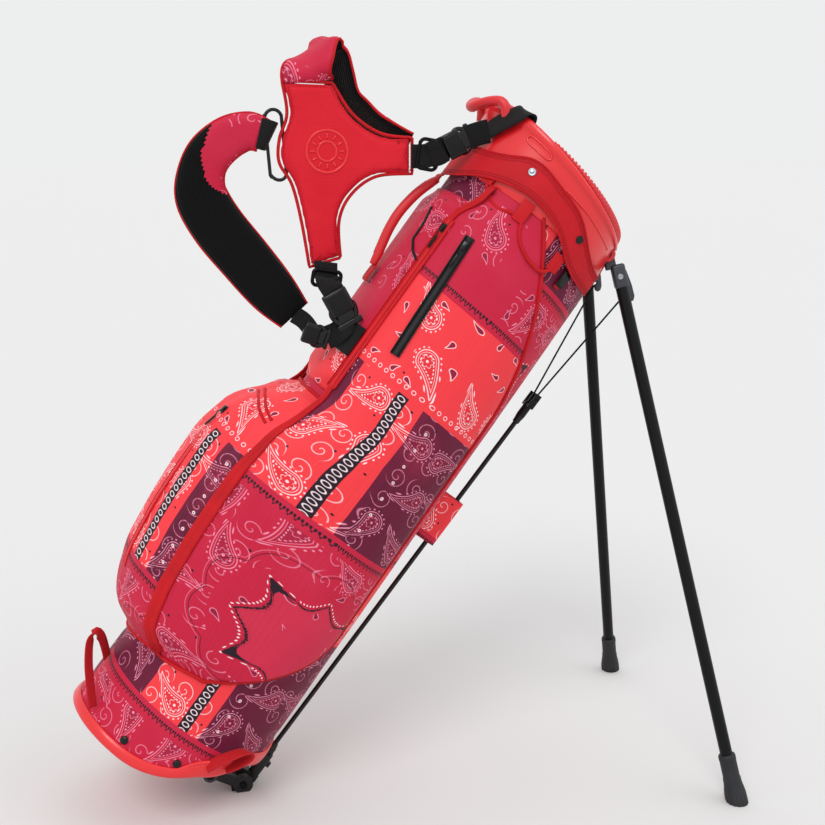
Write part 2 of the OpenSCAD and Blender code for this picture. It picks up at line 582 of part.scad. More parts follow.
// ---------- harness ----------
pad_y = -20;
pad_outline = [[75, 856], [80, 820], [71, 793], [70, 767], [84, 742], [94, 700], [102, 649], [139, 659],
    [138, 701], [152, 730], [181, 750], [224, 753], [224, 794], [187, 799], [155, 820], [132, 854]];
module in_plane(y, t) translate([0, y + t / 2, 0]) rotate([90, 0, 0]) linear_extrude(t) children();
module harness_pad() color(red) in_plane(pad_y, 9) offset(r = 4) offset(delta = -4) polygon(pad_outline);
module pad_badge() color(crimson) translate([124, pad_y - 5.6, 779]) rotate([90, 0, 0]) difference() {
    cylinder(r = 25, h = 1);
    translate([0, 0, -1]) cylinder(r = 20, h = 4);
}
module shoulder_strap_upper() color(maroon) strap([
    [[104, -20, 858], [28, 0, 0], 7],
    [[108, -16, 874], [28, 0, 1], 8],
    [[118, -4, 890], [28, 0, 4], 8],
    [[128, 16, 896], [28, 0, 6], 8],
    [[136, 36, 886], [28, 0, 8], 8],
    [[146, 48, 864], [27, 0, 10], 8],
    [[158, 52, 838], [25, 0, 14], 8],
    [[178, 48, 812], [19, 0, 21], 8],
    [[204, 34, 792], [10, 0, 25], 8],
    [[230, 12, 782], [2, 0, 18], 6]]);
module shoulder_strap_lower() color(maroon) strap([
    [[54, -22, 796], [7, 0, 16], 7],
    [[38, -15, 801], [2, 0, 20], 8],
    [[16, -9, 794], [-8, 0, 21], 8],
    [[-5, -5, 776], [-18, 0, 16], 9],
    [[-15, -3, 754], [-25, 0, 5], 9],
    [[-15, -2, 728], [-28, 0, -6], 9],
    [[2, -4, 696], [-26, 0, -14], 9],
    [[30, -8, 660], [-23, 0, -18], 9],
    [[60, -14, 622], [-21, 0, -17], 8],
    [[84, -18, 594], [-16, 0, -12], 6]]);
ring_centre = [70, pad_y - 9, 788];
module oval(half_x, half_z, t) linear_extrude(t, center = true)
    polygon([for (i = [0 : 31]) [half_x * cos(360 * i / 32), half_z * sin(360 * i / 32)]]);
module strap_ring() color(black) translate(ring_centre) rotate([90, 0, 0]) difference() {
    oval(9, 37, 3);
    oval(6, 34, 5);
}
module loop_frame(c, ang, w, h, bar_w) translate(c) rotate([0, -ang, 0]) rotate([90, 0, 0]) difference() {
    cube([w, h, 3], center = true);
    for (s = [-1, 1]) translate([s * (w - bar_w) / 4, 0, 0]) cube([(w - 3 * bar_w) / 2, h - 2 * bar_w, 5], center = true);
}
module strap_sliders() color(black) {
    loop_frame([240, -26, 774], -12, 20, 40, 3);
    loop_frame([120, -34, 635], 75, 20, 40, 3);
}
module block(c, ang, l, w, t) translate(c) rotate([0, -ang, 0]) cube([l, t, w], center = true);
module strap_buckles() color(black) {
    block([272, -38, 788], 26, 32, 30, 11);
    block([133, -56, 607], -65, 40, 30, 11);
    block([104, -46, 574], -20, 32, 24, 11);
}
module strap_webbing() color(black) {
    block([253.6, -32, 780], 18, 4, 25, 2);
    block([124, -45, 624], -66, 4, 25, 2);
    block([296, -46, 797], 24, 14, 25, 2);
}
// Webbing sewn flat on the bag, facing out at angle t.
module anchor(p, t, long) translate(p) rotate([0, 0, t]) cube([2.5, 24, long], center = true);
module harness_anchor_upper() color(black) bag() anchor(on_body(-151, 838, 14.5), -151, 32);
module harness_anchor_lower() color(black) bag()
    anchor(outer_form(-154, 537) + form_normal(-154, 537) * 4.4, -154, 36);

body_shell();
base_boot();
boot_rivets();
heel_bracket();
heel_pin();
kick_foot();
foot_link_pin();
collar();
ribbed_bead();
grab_handle();
divider_top();
divider_panels();
cuff_band();
cuff_snaps();
leg_hinge_block();
leg_pins();
stay_rods();
apparel_pocket_near();
apparel_pocket_far();
ball_pocket();
top_pocket();
tube_handle();
handle_patches();
rod_keeper();
towel_cord();
loop_label();
pull_loops();
valuables_zip();
apparel_zip();
ball_zip();
valuables_pull();
apparel_pull();
ball_pull();
leg_bracket(-1);  // leg_bracket_near
leg_tube(-1);  // leg_tube_near
leg_rivet(-1);  // leg_rivet_near
leg_foot(-1);  // leg_foot_near
leg_bracket(1);  // leg_bracket_far
leg_tube(1);  // leg_tube_far
leg_rivet(1);  // leg_rivet_far
leg_foot(1);  // leg_foot_far
rod_sleeve();
push_rod();
rod_yoke();
yoke_pins();
wire_near();
wire_far();
harness_pad();
pad_badge();
shoulder_strap_upper();
shoulder_strap_lower();
strap_ring();
strap_sliders();
strap_buckles();
strap_webbing();
harness_anchor_upper();
harness_anchor_lower();
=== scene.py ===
"""Visual model of a golf stand bag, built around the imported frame."""
import math

import bmesh
import bpy
import numpy as np
from mathutils import Matrix, Vector, noise


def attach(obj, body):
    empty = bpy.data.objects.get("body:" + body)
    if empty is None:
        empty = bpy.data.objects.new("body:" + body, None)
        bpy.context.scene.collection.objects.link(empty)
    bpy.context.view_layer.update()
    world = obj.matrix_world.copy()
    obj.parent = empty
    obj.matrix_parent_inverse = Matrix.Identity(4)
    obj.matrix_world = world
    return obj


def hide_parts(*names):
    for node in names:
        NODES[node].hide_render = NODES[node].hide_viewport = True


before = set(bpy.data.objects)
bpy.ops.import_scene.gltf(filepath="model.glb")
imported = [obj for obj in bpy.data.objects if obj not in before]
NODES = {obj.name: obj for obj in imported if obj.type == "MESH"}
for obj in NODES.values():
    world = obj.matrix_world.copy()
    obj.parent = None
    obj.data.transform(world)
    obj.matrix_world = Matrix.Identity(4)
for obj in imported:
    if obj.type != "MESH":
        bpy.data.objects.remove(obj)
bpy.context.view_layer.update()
MM = 0.001
TILT = math.radians(38)


# ---------------------------------------------------------------- bag geometry
def row(p):
    """Bag frame (a towards the legs, b sideways, c up the bag, in mm) to the row frame in metres."""
    p = np.asarray(p, float)
    a, b, c = p[..., 0], p[..., 1], p[..., 2]
    s, k = math.sin(TILT), math.cos(TILT)
    return np.stack([a * k + c * s, b, -a * s + c * k], -1) * MM


def row_mm(p):
    """Bag frame to the row frame, both in mm; for directions too."""
    return row(p) / MM


def unit(v):
    v = np.asarray(v, float)
    return v / np.linalg.norm(v, axis=-1, keepdims=True)


def up(c):
    return np.maximum(0, c - 80)


def mid_a(c):
    return -118 - 0.025 * up(c)


def half_d(c):
    return 115 - 0.01 * up(c)


def half_w(c):
    return 100 + 0.004 * up(c)


def rad(t):
    return np.radians(t)


def smooth(x):
    q = np.clip(x, 0, 1)
    return q * q * (3 - 2 * q)


def on_body(t, c, off=0.0):
    t, c = np.broadcast_arrays(np.asarray(t, float), np.asarray(c, float))
    return np.stack([mid_a(c) + (half_d(c) + off) * np.cos(rad(t)), (half_w(c) + off) * np.sin(rad(t)), c], -1)


FRONT_SWELL = np.array([[95, 3], [120, 28], [150, 46], [190, 60], [250, 68], [300, 70], [350, 70], [400, 58],
                        [430, 30], [465, 6], [760, 5]], float)
SIDE_SWELL = np.array([[115, 5], [160, 14], [240, 18], [400, 14], [560, 8], [700, 5], [775, 2]], float)


def swell(c, table):
    """The swell table, eased a little so that no crease shows where its slope changes."""
    return sum(np.interp(c + d, table[:, 0], table[:, 1]) for d in (-8, 0, 8)) / 3


def outer_form(t, c):
    t, c = np.broadcast_arrays(np.asarray(t, float), np.asarray(c, float))
    fs, ss = swell(c, FRONT_SWELL), swell(c, SIDE_SWELL)
    co, si = np.cos(rad(t)), np.sin(rad(t))
    front = co < 0
    a = np.where(front, mid_a(c) - (half_d(c) + fs) * np.abs(co) ** 0.8, mid_a(c) + (half_d(c) + 0.3 * ss) * co)
    b = np.where(front, (half_w(c) + ss) * np.sign(si) * np.abs(si) ** 0.8, (half_w(c) + ss) * si)
    return np.stack([a, b, c], -1)


def normal_of(f, t, c):
    dt = f(np.asarray(t) + 1.0, c) - f(np.asarray(t) - 1.0, c)
    dc = f(t, np.asarray(c) + 1.5) - f(t, np.asarray(c) - 1.5)
    n = np.cross(dt, dc)
    return n / np.maximum(1e-9, np.linalg.norm(n, axis=-1, keepdims=True))


def spine_t(c):
    return -134 - 11 * smooth((c - 380) / 110) + 11 * smooth((c - 715) / 40)


def pocket_back(c):
    return -42 - 58 * (np.maximum(0, c - 560) / 214) ** 1.5 - 66 * (np.maximum(0, 240 - c) / 120) ** 1.6


def pocket_low(t):
    """Height of the pockets' lower edge, which is one line round the bag."""
    return 105 + 10 * smooth((180 - np.abs(t)) / 46) + 8 * smooth((134 - np.abs(t)) / 26)


def boot_low(t, a):
    """Height of the boot's underside at t: its flat base runs in a soft bend into the heel."""
    z = 50 + 13 * smooth((np.abs(t) - 25) / 25) + 5 * smooth((np.abs(t) - 62) / 14)
    heel = (z + a * math.sin(TILT)) / math.cos(TILT)
    gap = np.maximum(0, 1 - np.abs(heel + 8) / 44)
    return np.maximum(-8, heel) + 11 * gap ** 2


def boot_top(t):
    rim = 14 + 11 * smooth((90 - np.abs(t)) / 12) - 6 * smooth((78 - np.abs(t)) / 30)
    return boot_low(t, on_body(t, 0)[..., 0]) + rim


# ---------------------------------------------------------------- mesh helpers
def add_object(name, verts, faces, mats, body=None, uvs=None, face_mats=None, smooth_shade=True):
    mesh = bpy.data.meshes.new(name)
    mesh.from_pydata([tuple(v) for v in verts], [], [tuple(int(i) for i in f) for f in faces])
    for m in mats if isinstance(mats, (list, tuple)) else [mats]:
        mesh.materials.append(m)
    if uvs is not None:
        layer = mesh.uv_layers.new(name="UVMap")
        loops = np.zeros(len(mesh.loops), int)
        mesh.loops.foreach_get("vertex_index", loops)
        layer.data.foreach_set("uv", np.asarray(uvs, float)[loops].astype(np.float32).ravel())
    if face_mats is not None:
        mesh.polygons.foreach_set("material_index", np.asarray(face_mats, int))
    mesh.polygons.foreach_set("use_smooth", [smooth_shade] * len(mesh.polygons))
    mesh.update()
    return linked(name, mesh, body)


def mark(obj, node=None):
    """Hides the CAD node that a piece stands for, when one is given."""
    if node:
        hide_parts(node)
    return obj


def linked(name, mesh, body=None):
    obj = bpy.data.objects.new(name, mesh)
    bpy.context.scene.collection.objects.link(obj)
    if body:
        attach(obj, body)
    return obj


def from_bmesh(name, bm, mat=None):
    mesh = bpy.data.meshes.new(name)
    bm.to_mesh(mesh)
    bm.free()
    if mat:
        mesh.materials.append(mat)
    return mesh


def grid_faces(m, n, close_n=False, close_m=False):
    i, j = np.meshgrid(np.arange(m if close_m else m - 1), np.arange(n if close_n else n - 1), indexing="ij")
    i, j = i.ravel(), j.ravel()
    i2, j2 = (i + 1) % m, (j + 1) % n
    return np.stack([i * n + j, i * n + j2, i2 * n + j2, i2 * n + j], -1)


def capped(m, n):
    """Faces of a closed section of n points at m places, with a cap at both ends."""
    return [list(f) for f in grid_faces(m, n, True)] + [list(range(n))[::-1],
                                                        [(m - 1) * n + i for i in range(n)]]


def arc_length(P):
    return np.concatenate([[0], np.cumsum(np.linalg.norm(np.diff(P, axis=0), axis=1))])


def sheet_obj(name, P, uv, mat, body, thick=0.0, offset=-1, flip=False):
    """A sheet through a grid of points in the row frame (metres), thickened inwards."""
    m, n = P.shape[:2]
    faces = grid_faces(m, n)
    if flip:
        faces = faces[:, ::-1]
    obj = add_object(name, P.reshape(-1, 3), faces, mat, None, uv.reshape(-1, 2))
    if thick:
        mod = obj.modifiers.new("thick", "SOLIDIFY")
        mod.thickness, mod.offset = thick * MM, offset
        mod.use_even_offset = False
    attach(obj, body)
    return obj


def resample(points, step, closed=False):
    """Points evenly spaced on a smooth curve through the given ones."""
    P = np.asarray(points, float)
    n = len(P)
    idx = (lambda i: i % n) if closed else (lambda i: min(max(i, 0), n - 1))
    out = []
    for i in range(n if closed else n - 1):
        a, b, c, d = (P[idx(i + k)] for k in (-1, 0, 1, 2))
        for f in np.linspace(0, 1, 16, endpoint=False):
            out.append(0.5 * (2 * b + (c - a) * f + (2 * a - 5 * b + 4 * c - d) * f * f
                              + (3 * b - a - 3 * c + d) * f ** 3))
    if not closed:
        out.append(P[-1])
    out = np.array(out)
    q = np.vstack([out, out[:1]]) if closed else out
    s = np.concatenate([[0], np.cumsum(np.linalg.norm(np.diff(q[:, :3], axis=0), axis=1))])
    count = max(3, int(round(s[-1] / step)) + 1)
    at = np.linspace(0, s[-1], count, endpoint=not closed)
    return np.stack([np.interp(at, s, q[:, k]) for k in range(q.shape[1])], -1)


def tangents(P, closed=False):
    if closed:
        d = np.roll(P, -1, 0) - np.roll(P, 1, 0)
    else:
        d = np.gradient(P, axis=0)
    return d / np.maximum(1e-12, np.linalg.norm(d, axis=1, keepdims=True))


def frames(P, closed=False, first=None):
    """Two cross directions at each point, carried along without twist."""
    T = tangents(P, closed)
    u = np.array(first, float) if first is not None else np.array([0.31, 0.87, 0.39])
    U = []
    for t in T:
        u = u - t * (u @ t)
        if np.linalg.norm(u) < 1e-6:
            u = np.cross(t, [0.3, 0.5, 0.8])
        u = u / np.linalg.norm(u)
        U.append(u)
    U = np.array(U)
    return T, U, np.cross(T, U)


def tube(name, path, r, mat, body, step=4.0, sides=12, closed=False, taper=None, flat=1.0, first=None,
         sampled=False):
    """Round cord or pipe along points in the row frame, in mm."""
    P = np.asarray(path, float) if sampled else resample(path, step, closed)
    _, U, V = frames(P, closed, first)
    ang = np.linspace(0, 2 * np.pi, sides, endpoint=False)
    rr = (np.full(len(P), float(r)) if taper is None
          else np.array([r * taper(f) for f in np.linspace(0, 1, len(P))]))
    ring = U[:, None] * (np.cos(ang)[None, :, None] * rr[:, None, None]) + V[:, None] * (
        np.sin(ang)[None, :, None] * rr[:, None, None] * flat)
    Q = (P[:, None] + ring).reshape(-1, 3) * MM
    s = arc_length(P)
    uv = np.stack(np.broadcast_arrays(ang[None] * r, s[:, None]), -1).reshape(-1, 2)
    faces = [list(f) for f in grid_faces(len(P), sides, True, closed)]
    if not closed:
        faces += [list(range(sides))[::-1], [(len(P) - 1) * sides + k for k in range(sides)]]
    return add_object(name, Q, faces, mat, body, uv)


def ribbon(name, P, W, N, profile, mat, body):
    """Sweeps a cross section [(across, out)] along P, in mm in the row frame. W is its across and N its out."""
    prof = np.asarray(profile, float)
    k = len(prof)
    Q = P[:, None] + W[:, None] * prof[None, :, :1] + N[:, None] * prof[None, :, 1:]
    s = arc_length(P)
    w = arc_length(prof)
    uv = np.stack(np.broadcast_arrays(w[None], s[:, None]), -1).reshape(-1, 2)
    return add_object(name, Q.reshape(-1, 3) * MM, capped(len(P), k), mat, body, uv)


def flat_section(half, thick, bevel=0.35):
    """Closed cross section of a strap: flat faces with soft edges."""
    h = thick / 2
    return [(-half, -h * bevel), (-half + h, -h), (-half / 2, -h), (0, -h),
            (half / 2, -h), (half - h, -h), (half, -h * bevel),
            (half, h * bevel), (half - h, h), (half / 2, h),
            (0, h), (-half / 2, h), (-half + h, h), (-half, h * bevel)]


def strap(name, path, width, thick, side, mat, body, step=3.0):
    """Webbing along points in mm; side is a direction across it, one vector or one per point."""
    P = resample(path, step)
    T = tangents(P)
    S = np.asarray(side, float)
    if S.ndim == 2:
        f = np.linspace(0, 1, len(S))
        S = np.stack([np.interp(np.linspace(0, 1, len(P)), f, S[:, k]) for k in range(3)], -1)
    else:
        S = np.tile(S, (len(P), 1))
    S = S - T * np.sum(S * T, 1, keepdims=True)
    S /= np.linalg.norm(S, axis=1, keepdims=True)
    return ribbon(name, P, S, np.cross(T, S), flat_section(width / 2, thick), mat, body)


def box_at(name, size, at, axes, bevel, mat, body=None, segments=3):
    """Rounded block; size and place in mm, axes are three directions in the row frame."""
    bm = bmesh.new()
    bmesh.ops.create_cube(bm, size=1)
    A = np.array(axes, float)
    A /= np.linalg.norm(A, axis=1, keepdims=True)
    for v in bm.verts:
        q = sum(A[k] * v.co[k] * size[k] for k in range(3)) + np.asarray(at, float)
        v.co = Vector(q * MM)
    bmesh.ops.recalc_face_normals(bm, faces=bm.faces)
    bmesh.ops.bevel(bm, geom=list(bm.edges), offset=bevel * MM, segments=segments, profile=0.5, affect="EDGES",
                    clamp_overlap=True)
    mesh = from_bmesh(name, bm, mat)
    mesh.polygons.foreach_set("use_smooth", [True] * len(mesh.polygons))
    return linked(name, mesh, body)


def plate(name, outline, thick, at, axes, bevel, mat):
    """Flat plate cut to an outline of (x, z) points; axes are its x, its thickness and its z."""
    ex, ey, ez = (np.asarray(a, float) for a in axes)
    bm = bmesh.new()
    low, high = [[bm.verts.new(Vector((at + ex * x + ez * z + ey * y) * MM)) for x, z in outline]
                 for y in (-thick / 2, thick / 2)]
    bm.faces.new(low)
    bm.faces.new(high[::-1])
    for i in range(len(outline)):
        j = (i + 1) % len(outline)
        bm.faces.new((low[i], low[j], high[j], high[i]))
    bmesh.ops.recalc_face_normals(bm, faces=bm.faces)
    bmesh.ops.bevel(bm, geom=list(bm.edges), offset=bevel * MM, segments=2, profile=0.5, affect="EDGES",
                    clamp_overlap=True)
    return linked(name, from_bmesh(name, bm, mat))


def joined(name, parts, body):
    """Joins pieces into one object that rides on a body."""
    mats, verts, faces, fm, uvs = [], [], [], [], []
    for o in parts:
        base = len(verts)
        me = o.data
        idx = []
        for m in me.materials:
            if m not in mats:
                mats.append(m)
            idx.append(mats.index(m))
        verts += [tuple(v.co) for v in me.vertices]
        uv = np.zeros((len(me.vertices), 2))
        if me.uv_layers:
            for l, d in zip(me.loops, me.uv_layers[0].data):
                uv[l.vertex_index] = d.uv
        uvs.append(uv)
        for p in me.polygons:
            faces.append([base + i for i in p.vertices])
            fm.append(idx[p.material_index] if idx else 0)
        bpy.data.objects.remove(o)
    return add_object(name, verts, faces, mats, body, np.vstack(uvs), fm)


def lathe(name, profile, at, axis, mat, body, sides=32, flute=None):
    """Turned piece: profile is [(radius, height)] in mm about the axis through at."""
    z = np.array(axis, float) / np.linalg.norm(axis)
    x = np.cross(z, [0.2, 0.9, 0.1])
    x /= np.linalg.norm(x)
    y = np.cross(z, x)
    ang = np.linspace(0, 2 * np.pi, sides, endpoint=False)
    prof = np.asarray(profile, float)
    R = prof[:, :1] * (np.ones_like(ang)[None] if flute is None else flute(ang[None], prof[:, 1:]))
    Q = (np.asarray(at, float)
         + R[..., None] * (np.cos(ang)[None, :, None] * x + np.sin(ang)[None, :, None] * y)
         + prof[:, 1][:, None, None] * z)
    ring = prof[0, 0] > 1 and prof[-1, 0] > 1
    faces = [list(f) for f in grid_faces(len(prof), sides, True, ring)]
    if not ring:
        faces += [list(range(sides))[::-1], [(len(prof) - 1) * sides + k for k in range(sides)]]
    uv = np.stack(np.broadcast_arrays(ang[None] * prof[:, :1].max(), prof[:, 1:]), -1).reshape(-1, 2)
    return add_object(name, Q.reshape(-1, 3) * MM, faces, mat, body, uv)


def bake(obj):
    """Applies every modifier of a piece."""
    deps = bpy.context.evaluated_depsgraph_get()
    mesh = bpy.data.meshes.new_from_object(obj.evaluated_get(deps))
    obj.modifiers.clear()
    obj.data = mesh


def cut(obj, cutters):
    """Cuts closed meshes out of a piece, for good."""
    for c in cutters:
        mod = obj.modifiers.new("cut", "BOOLEAN")
        mod.operation, mod.object, mod.solver = "DIFFERENCE", c, "EXACT"
    bake(obj)


def crinkle(P, N, amp, scale, seed=0.0, stretch=(1, 1, 1)):
    """Moves points along their normals by a soft noise, both in mm."""
    flatP, flatN = P.reshape(-1, 3), N.reshape(-1, 3)
    amp = np.broadcast_to(np.asarray(amp, float), P.shape[:-1]).ravel()
    out = flatP.copy()
    for i, (p, n) in enumerate(zip(flatP, flatN)):
        if abs(amp[i]) > 1e-4:
            q = Vector((p[0] * stretch[0] / scale + seed, p[1] * stretch[1] / scale, p[2] * stretch[2] / scale))
            out[i] = p + n * amp[i] * (noise.noise(q) + 0.5 * noise.noise(q * 2.1))
    return out.reshape(P.shape)


# ---------------------------------------------------------------- shader helpers
def srgb(hex_code):
    v = [int(hex_code[i:i + 2], 16) / 255 for i in (1, 3, 5)]
    return tuple(c / 12.92 if c < 0.04045 else ((c + 0.055) / 1.055) ** 2.4 for c in v) + (1.0,)


class Num:
    """A number in a shader. Arithmetic on it adds Math nodes."""
    tree = None

    def __init__(self, socket):
        self.socket = socket

    def __add__(self, o):
        return calc("ADD", self, o)

    def __radd__(self, o):
        return calc("ADD", o, self)

    def __sub__(self, o):
        return calc("SUBTRACT", self, o)

    def __rsub__(self, o):
        return calc("SUBTRACT", o, self)

    def __mul__(self, o):
        return calc("MULTIPLY", self, o)

    def __rmul__(self, o):
        return calc("MULTIPLY", o, self)

    def __truediv__(self, o):
        return calc("DIVIDE", self, o)

    def __rtruediv__(self, o):
        return calc("DIVIDE", o, self)


def put(value, socket):
    if isinstance(value, Num):
        Num.tree.links.new(value.socket, socket)
    elif isinstance(value, bpy.types.NodeSocket):
        Num.tree.links.new(value, socket)
    elif value is not None:
        socket.default_value = value


def calc(op, a, b=None, c=None, clamp=False):
    node = Num.tree.nodes.new("ShaderNodeMath")
    node.operation, node.use_clamp = op, clamp
    for value, socket in zip((a, b, c), node.inputs):
        put(value, socket)
    return Num(node.outputs[0])


def fract(a):
    return calc("FRACT", a)


def floor(a):
    return calc("FLOOR", a)


def absolute(a):
    return calc("ABSOLUTE", a)


def above(a, edge):
    return calc("GREATER_THAN", a, edge)


def between(a, low, high):
    return above(a, low) * calc("LESS_THAN", a, high)


def clamp01(a):
    return calc("ADD", a, 0.0, clamp=True)


def line(d, width, soft=0.3):
    """1 within width of where d is 0, with a soft edge, in mm."""
    return calc("MULTIPLY_ADD", absolute(d), -0.5 / soft, (width + soft) * 0.5 / soft, clamp=True)


def inside(d, soft=0.3):
    """1 where d is below 0."""
    return calc("MULTIPLY_ADD", d, -0.5 / soft, 0.5, clamp=True)


def length(x, y):
    return calc("SQRT", x * x + y * y)


def most(a, b):
    return calc("MAXIMUM", a, b)


def rgb_mix(f, a, b, blend="MIX"):
    node = Num.tree.nodes.new("ShaderNodeMix")
    node.data_type, node.blend_type = "RGBA", blend
    put(f, node.inputs[0])
    put(a, node.inputs[6])
    put(b, node.inputs[7])
    return node.outputs[2]


def noise_tex(vector, scale, detail=2.0, rough=0.5):
    node = Num.tree.nodes.new("ShaderNodeTexNoise")
    put(vector, node.inputs["Vector"])
    node.inputs["Scale"].default_value = scale
    node.inputs["Detail"].default_value = detail
    node.inputs["Roughness"].default_value = rough
    return Num(node.outputs[0])


def combine(x, y, z=0.0):
    node = Num.tree.nodes.new("ShaderNodeCombineXYZ")
    for v, s in zip((x, y, z), node.inputs):
        put(v, s)
    return node.outputs[0]


def chance(x, y, seed):
    """Three random numbers for the cell (x, y)."""
    node = Num.tree.nodes.new("ShaderNodeTexWhiteNoise")
    node.noise_dimensions = "3D"
    put(combine(x, y, seed), node.inputs["Vector"])
    sep = Num.tree.nodes.new("ShaderNodeSeparateColor")
    put(node.outputs["Color"], sep.inputs[0])
    return [Num(s) for s in sep.outputs]


def uv_mm():
    node = Num.tree.nodes.new("ShaderNodeUVMap")
    node.uv_map = "UVMap"
    sep = Num.tree.nodes.new("ShaderNodeSeparateXYZ")
    put(node.outputs[0], sep.inputs[0])
    return Num(sep.outputs[0]), Num(sep.outputs[1]), node.outputs[0]


def place_mm():
    """Place in the object, in mm, for pieces with no UV map."""
    node = Num.tree.nodes.new("ShaderNodeTexCoord")
    sep = Num.tree.nodes.new("ShaderNodeSeparateXYZ")
    put(node.outputs["Object"], sep.inputs[0])
    return [Num(s) * 1000.0 for s in sep.outputs], node.outputs["Object"]


def bump(height, strength, distance, normal=None):
    node = Num.tree.nodes.new("ShaderNodeBump")
    node.inputs["Strength"].default_value = strength
    node.inputs["Distance"].default_value = distance * MM
    put(height, node.inputs["Height"])
    if normal is not None:
        put(normal, node.inputs["Normal"])
    return node.outputs[0]


def bevel_normal(radius):
    node = Num.tree.nodes.new("ShaderNodeBevel")
    node.samples = 4
    node.inputs["Radius"].default_value = radius * MM
    return node.outputs[0]


def start(name):
    mat = bpy.data.materials.new(name)
    mat.use_nodes = True
    Num.tree = mat.node_tree
    shader = mat.node_tree.nodes["Principled BSDF"]
    return mat, shader


def finish_shader(shader, color, rough, normal=None, metal=0.0, sheen=0.0, coat=0.0, spec=0.5, tint=None):
    put(color, shader.inputs["Base Color"])
    put(rough, shader.inputs["Roughness"])
    put(metal, shader.inputs["Metallic"])
    put(spec, shader.inputs["Specular IOR Level"])
    if normal is not None:
        put(normal, shader.inputs["Normal"])
    if sheen:
        shader.inputs["Sheen Weight"].default_value = sheen
        shader.inputs["Sheen Roughness"].default_value = 0.4
        if tint:
            shader.inputs["Sheen Tint"].default_value = tint
    if coat:
        shader.inputs["Coat Weight"].default_value = coat
        shader.inputs["Coat Roughness"].default_value = 0.12


def thread_grid(x, y, cell, width=0.08):
    return most(line(fract(x / cell) - 0.5, width, 0.06), line(fract(y / cell) - 0.5, width, 0.06))


def ripstop_height(x, y, cell=3.4):
    """Fine plain weave with a thicker thread every cell, as in ripstop."""
    grid = thread_grid(x, y, cell, 0.09)
    weave = calc("SINE", x * (2 * math.pi / 0.9)) * calc("SINE", y * (2 * math.pi / 0.9))
    return grid * 0.75 + weave * 0.16


def plain_fabric(name, color, dark, cell=3.4, rough=0.62, use_uv=True, sheen=0.08, grid_show=0.22):
    mat, shader = start(name)
    if use_uv:
        x, y, vec = uv_mm()
        blotch = noise_tex(vec, 0.02, 3.0)
    else:
        (x, _, y), vec = place_mm()
        blotch = noise_tex(vec, 18.0, 3.0)
    grid = thread_grid(x, y, cell)
    col = rgb_mix(clamp01((blotch - 0.35) * 1.6), srgb(dark), srgb(color))
    col = rgb_mix(grid * grid_show, col, srgb(dark))
    height = ripstop_height(x, y, cell)
    finish_shader(shader, col, rough, bump(height, 0.55, 0.25), sheen=sheen, tint=srgb(color), spec=0.22)
    return mat


# ---------------------------------------------------------------- bandana print
PRINT_PERIOD = 660.0
WHITE, PINK, INK = srgb("#f6e2e6"), srgb("#ec8fab"), srgb("#24121f")
CORAL, CRIMSON, MAROON, ROSE = srgb("#ee3a42"), srgb("#c21a3c"), srgb("#640f31"), srgb("#d63c58")


def teardrop(x, y, cell, size, seed, jitter=0.25, curl=0.010):
    """Distance (mm) to a curled drop in each cell, its own coordinates, and a random number."""
    gy = y / cell
    iy = floor(gy)
    gx = x / cell + iy * 0.5
    ix = floor(gx)
    r1, r2, r3 = chance(ix, iy, seed)
    lx = (gx - ix - 0.5 - (r2 - 0.5) * jitter) * cell
    ly = (gy - iy - 0.5 - (r3 - 0.5) * jitter) * cell
    ang = r1 * (2 * math.pi)
    ca, sa = calc("COSINE", ang), calc("SINE", ang)
    px = lx * ca + ly * sa
    py = ly * ca - lx * sa + 0.22 * size
    tail = most(py, 0.0)
    qx = px - tail * tail * curl + 0.06 * size
    t = calc("MULTIPLY", py, 1 / (0.72 * size), clamp=True)
    radius = 0.25 * size * (1.0 - t * 0.96)
    d = length(qx, py - t * (0.72 * size)) - radius
    return d, qx, py, r3


def ring_dots(d, at, angle_turns, count, spacing, radius):
    """A row of round dots that follows the line d = at."""
    along = (fract(angle_turns * count) - 0.5) * spacing
    return inside(length(along, d - at) - radius, 0.25)


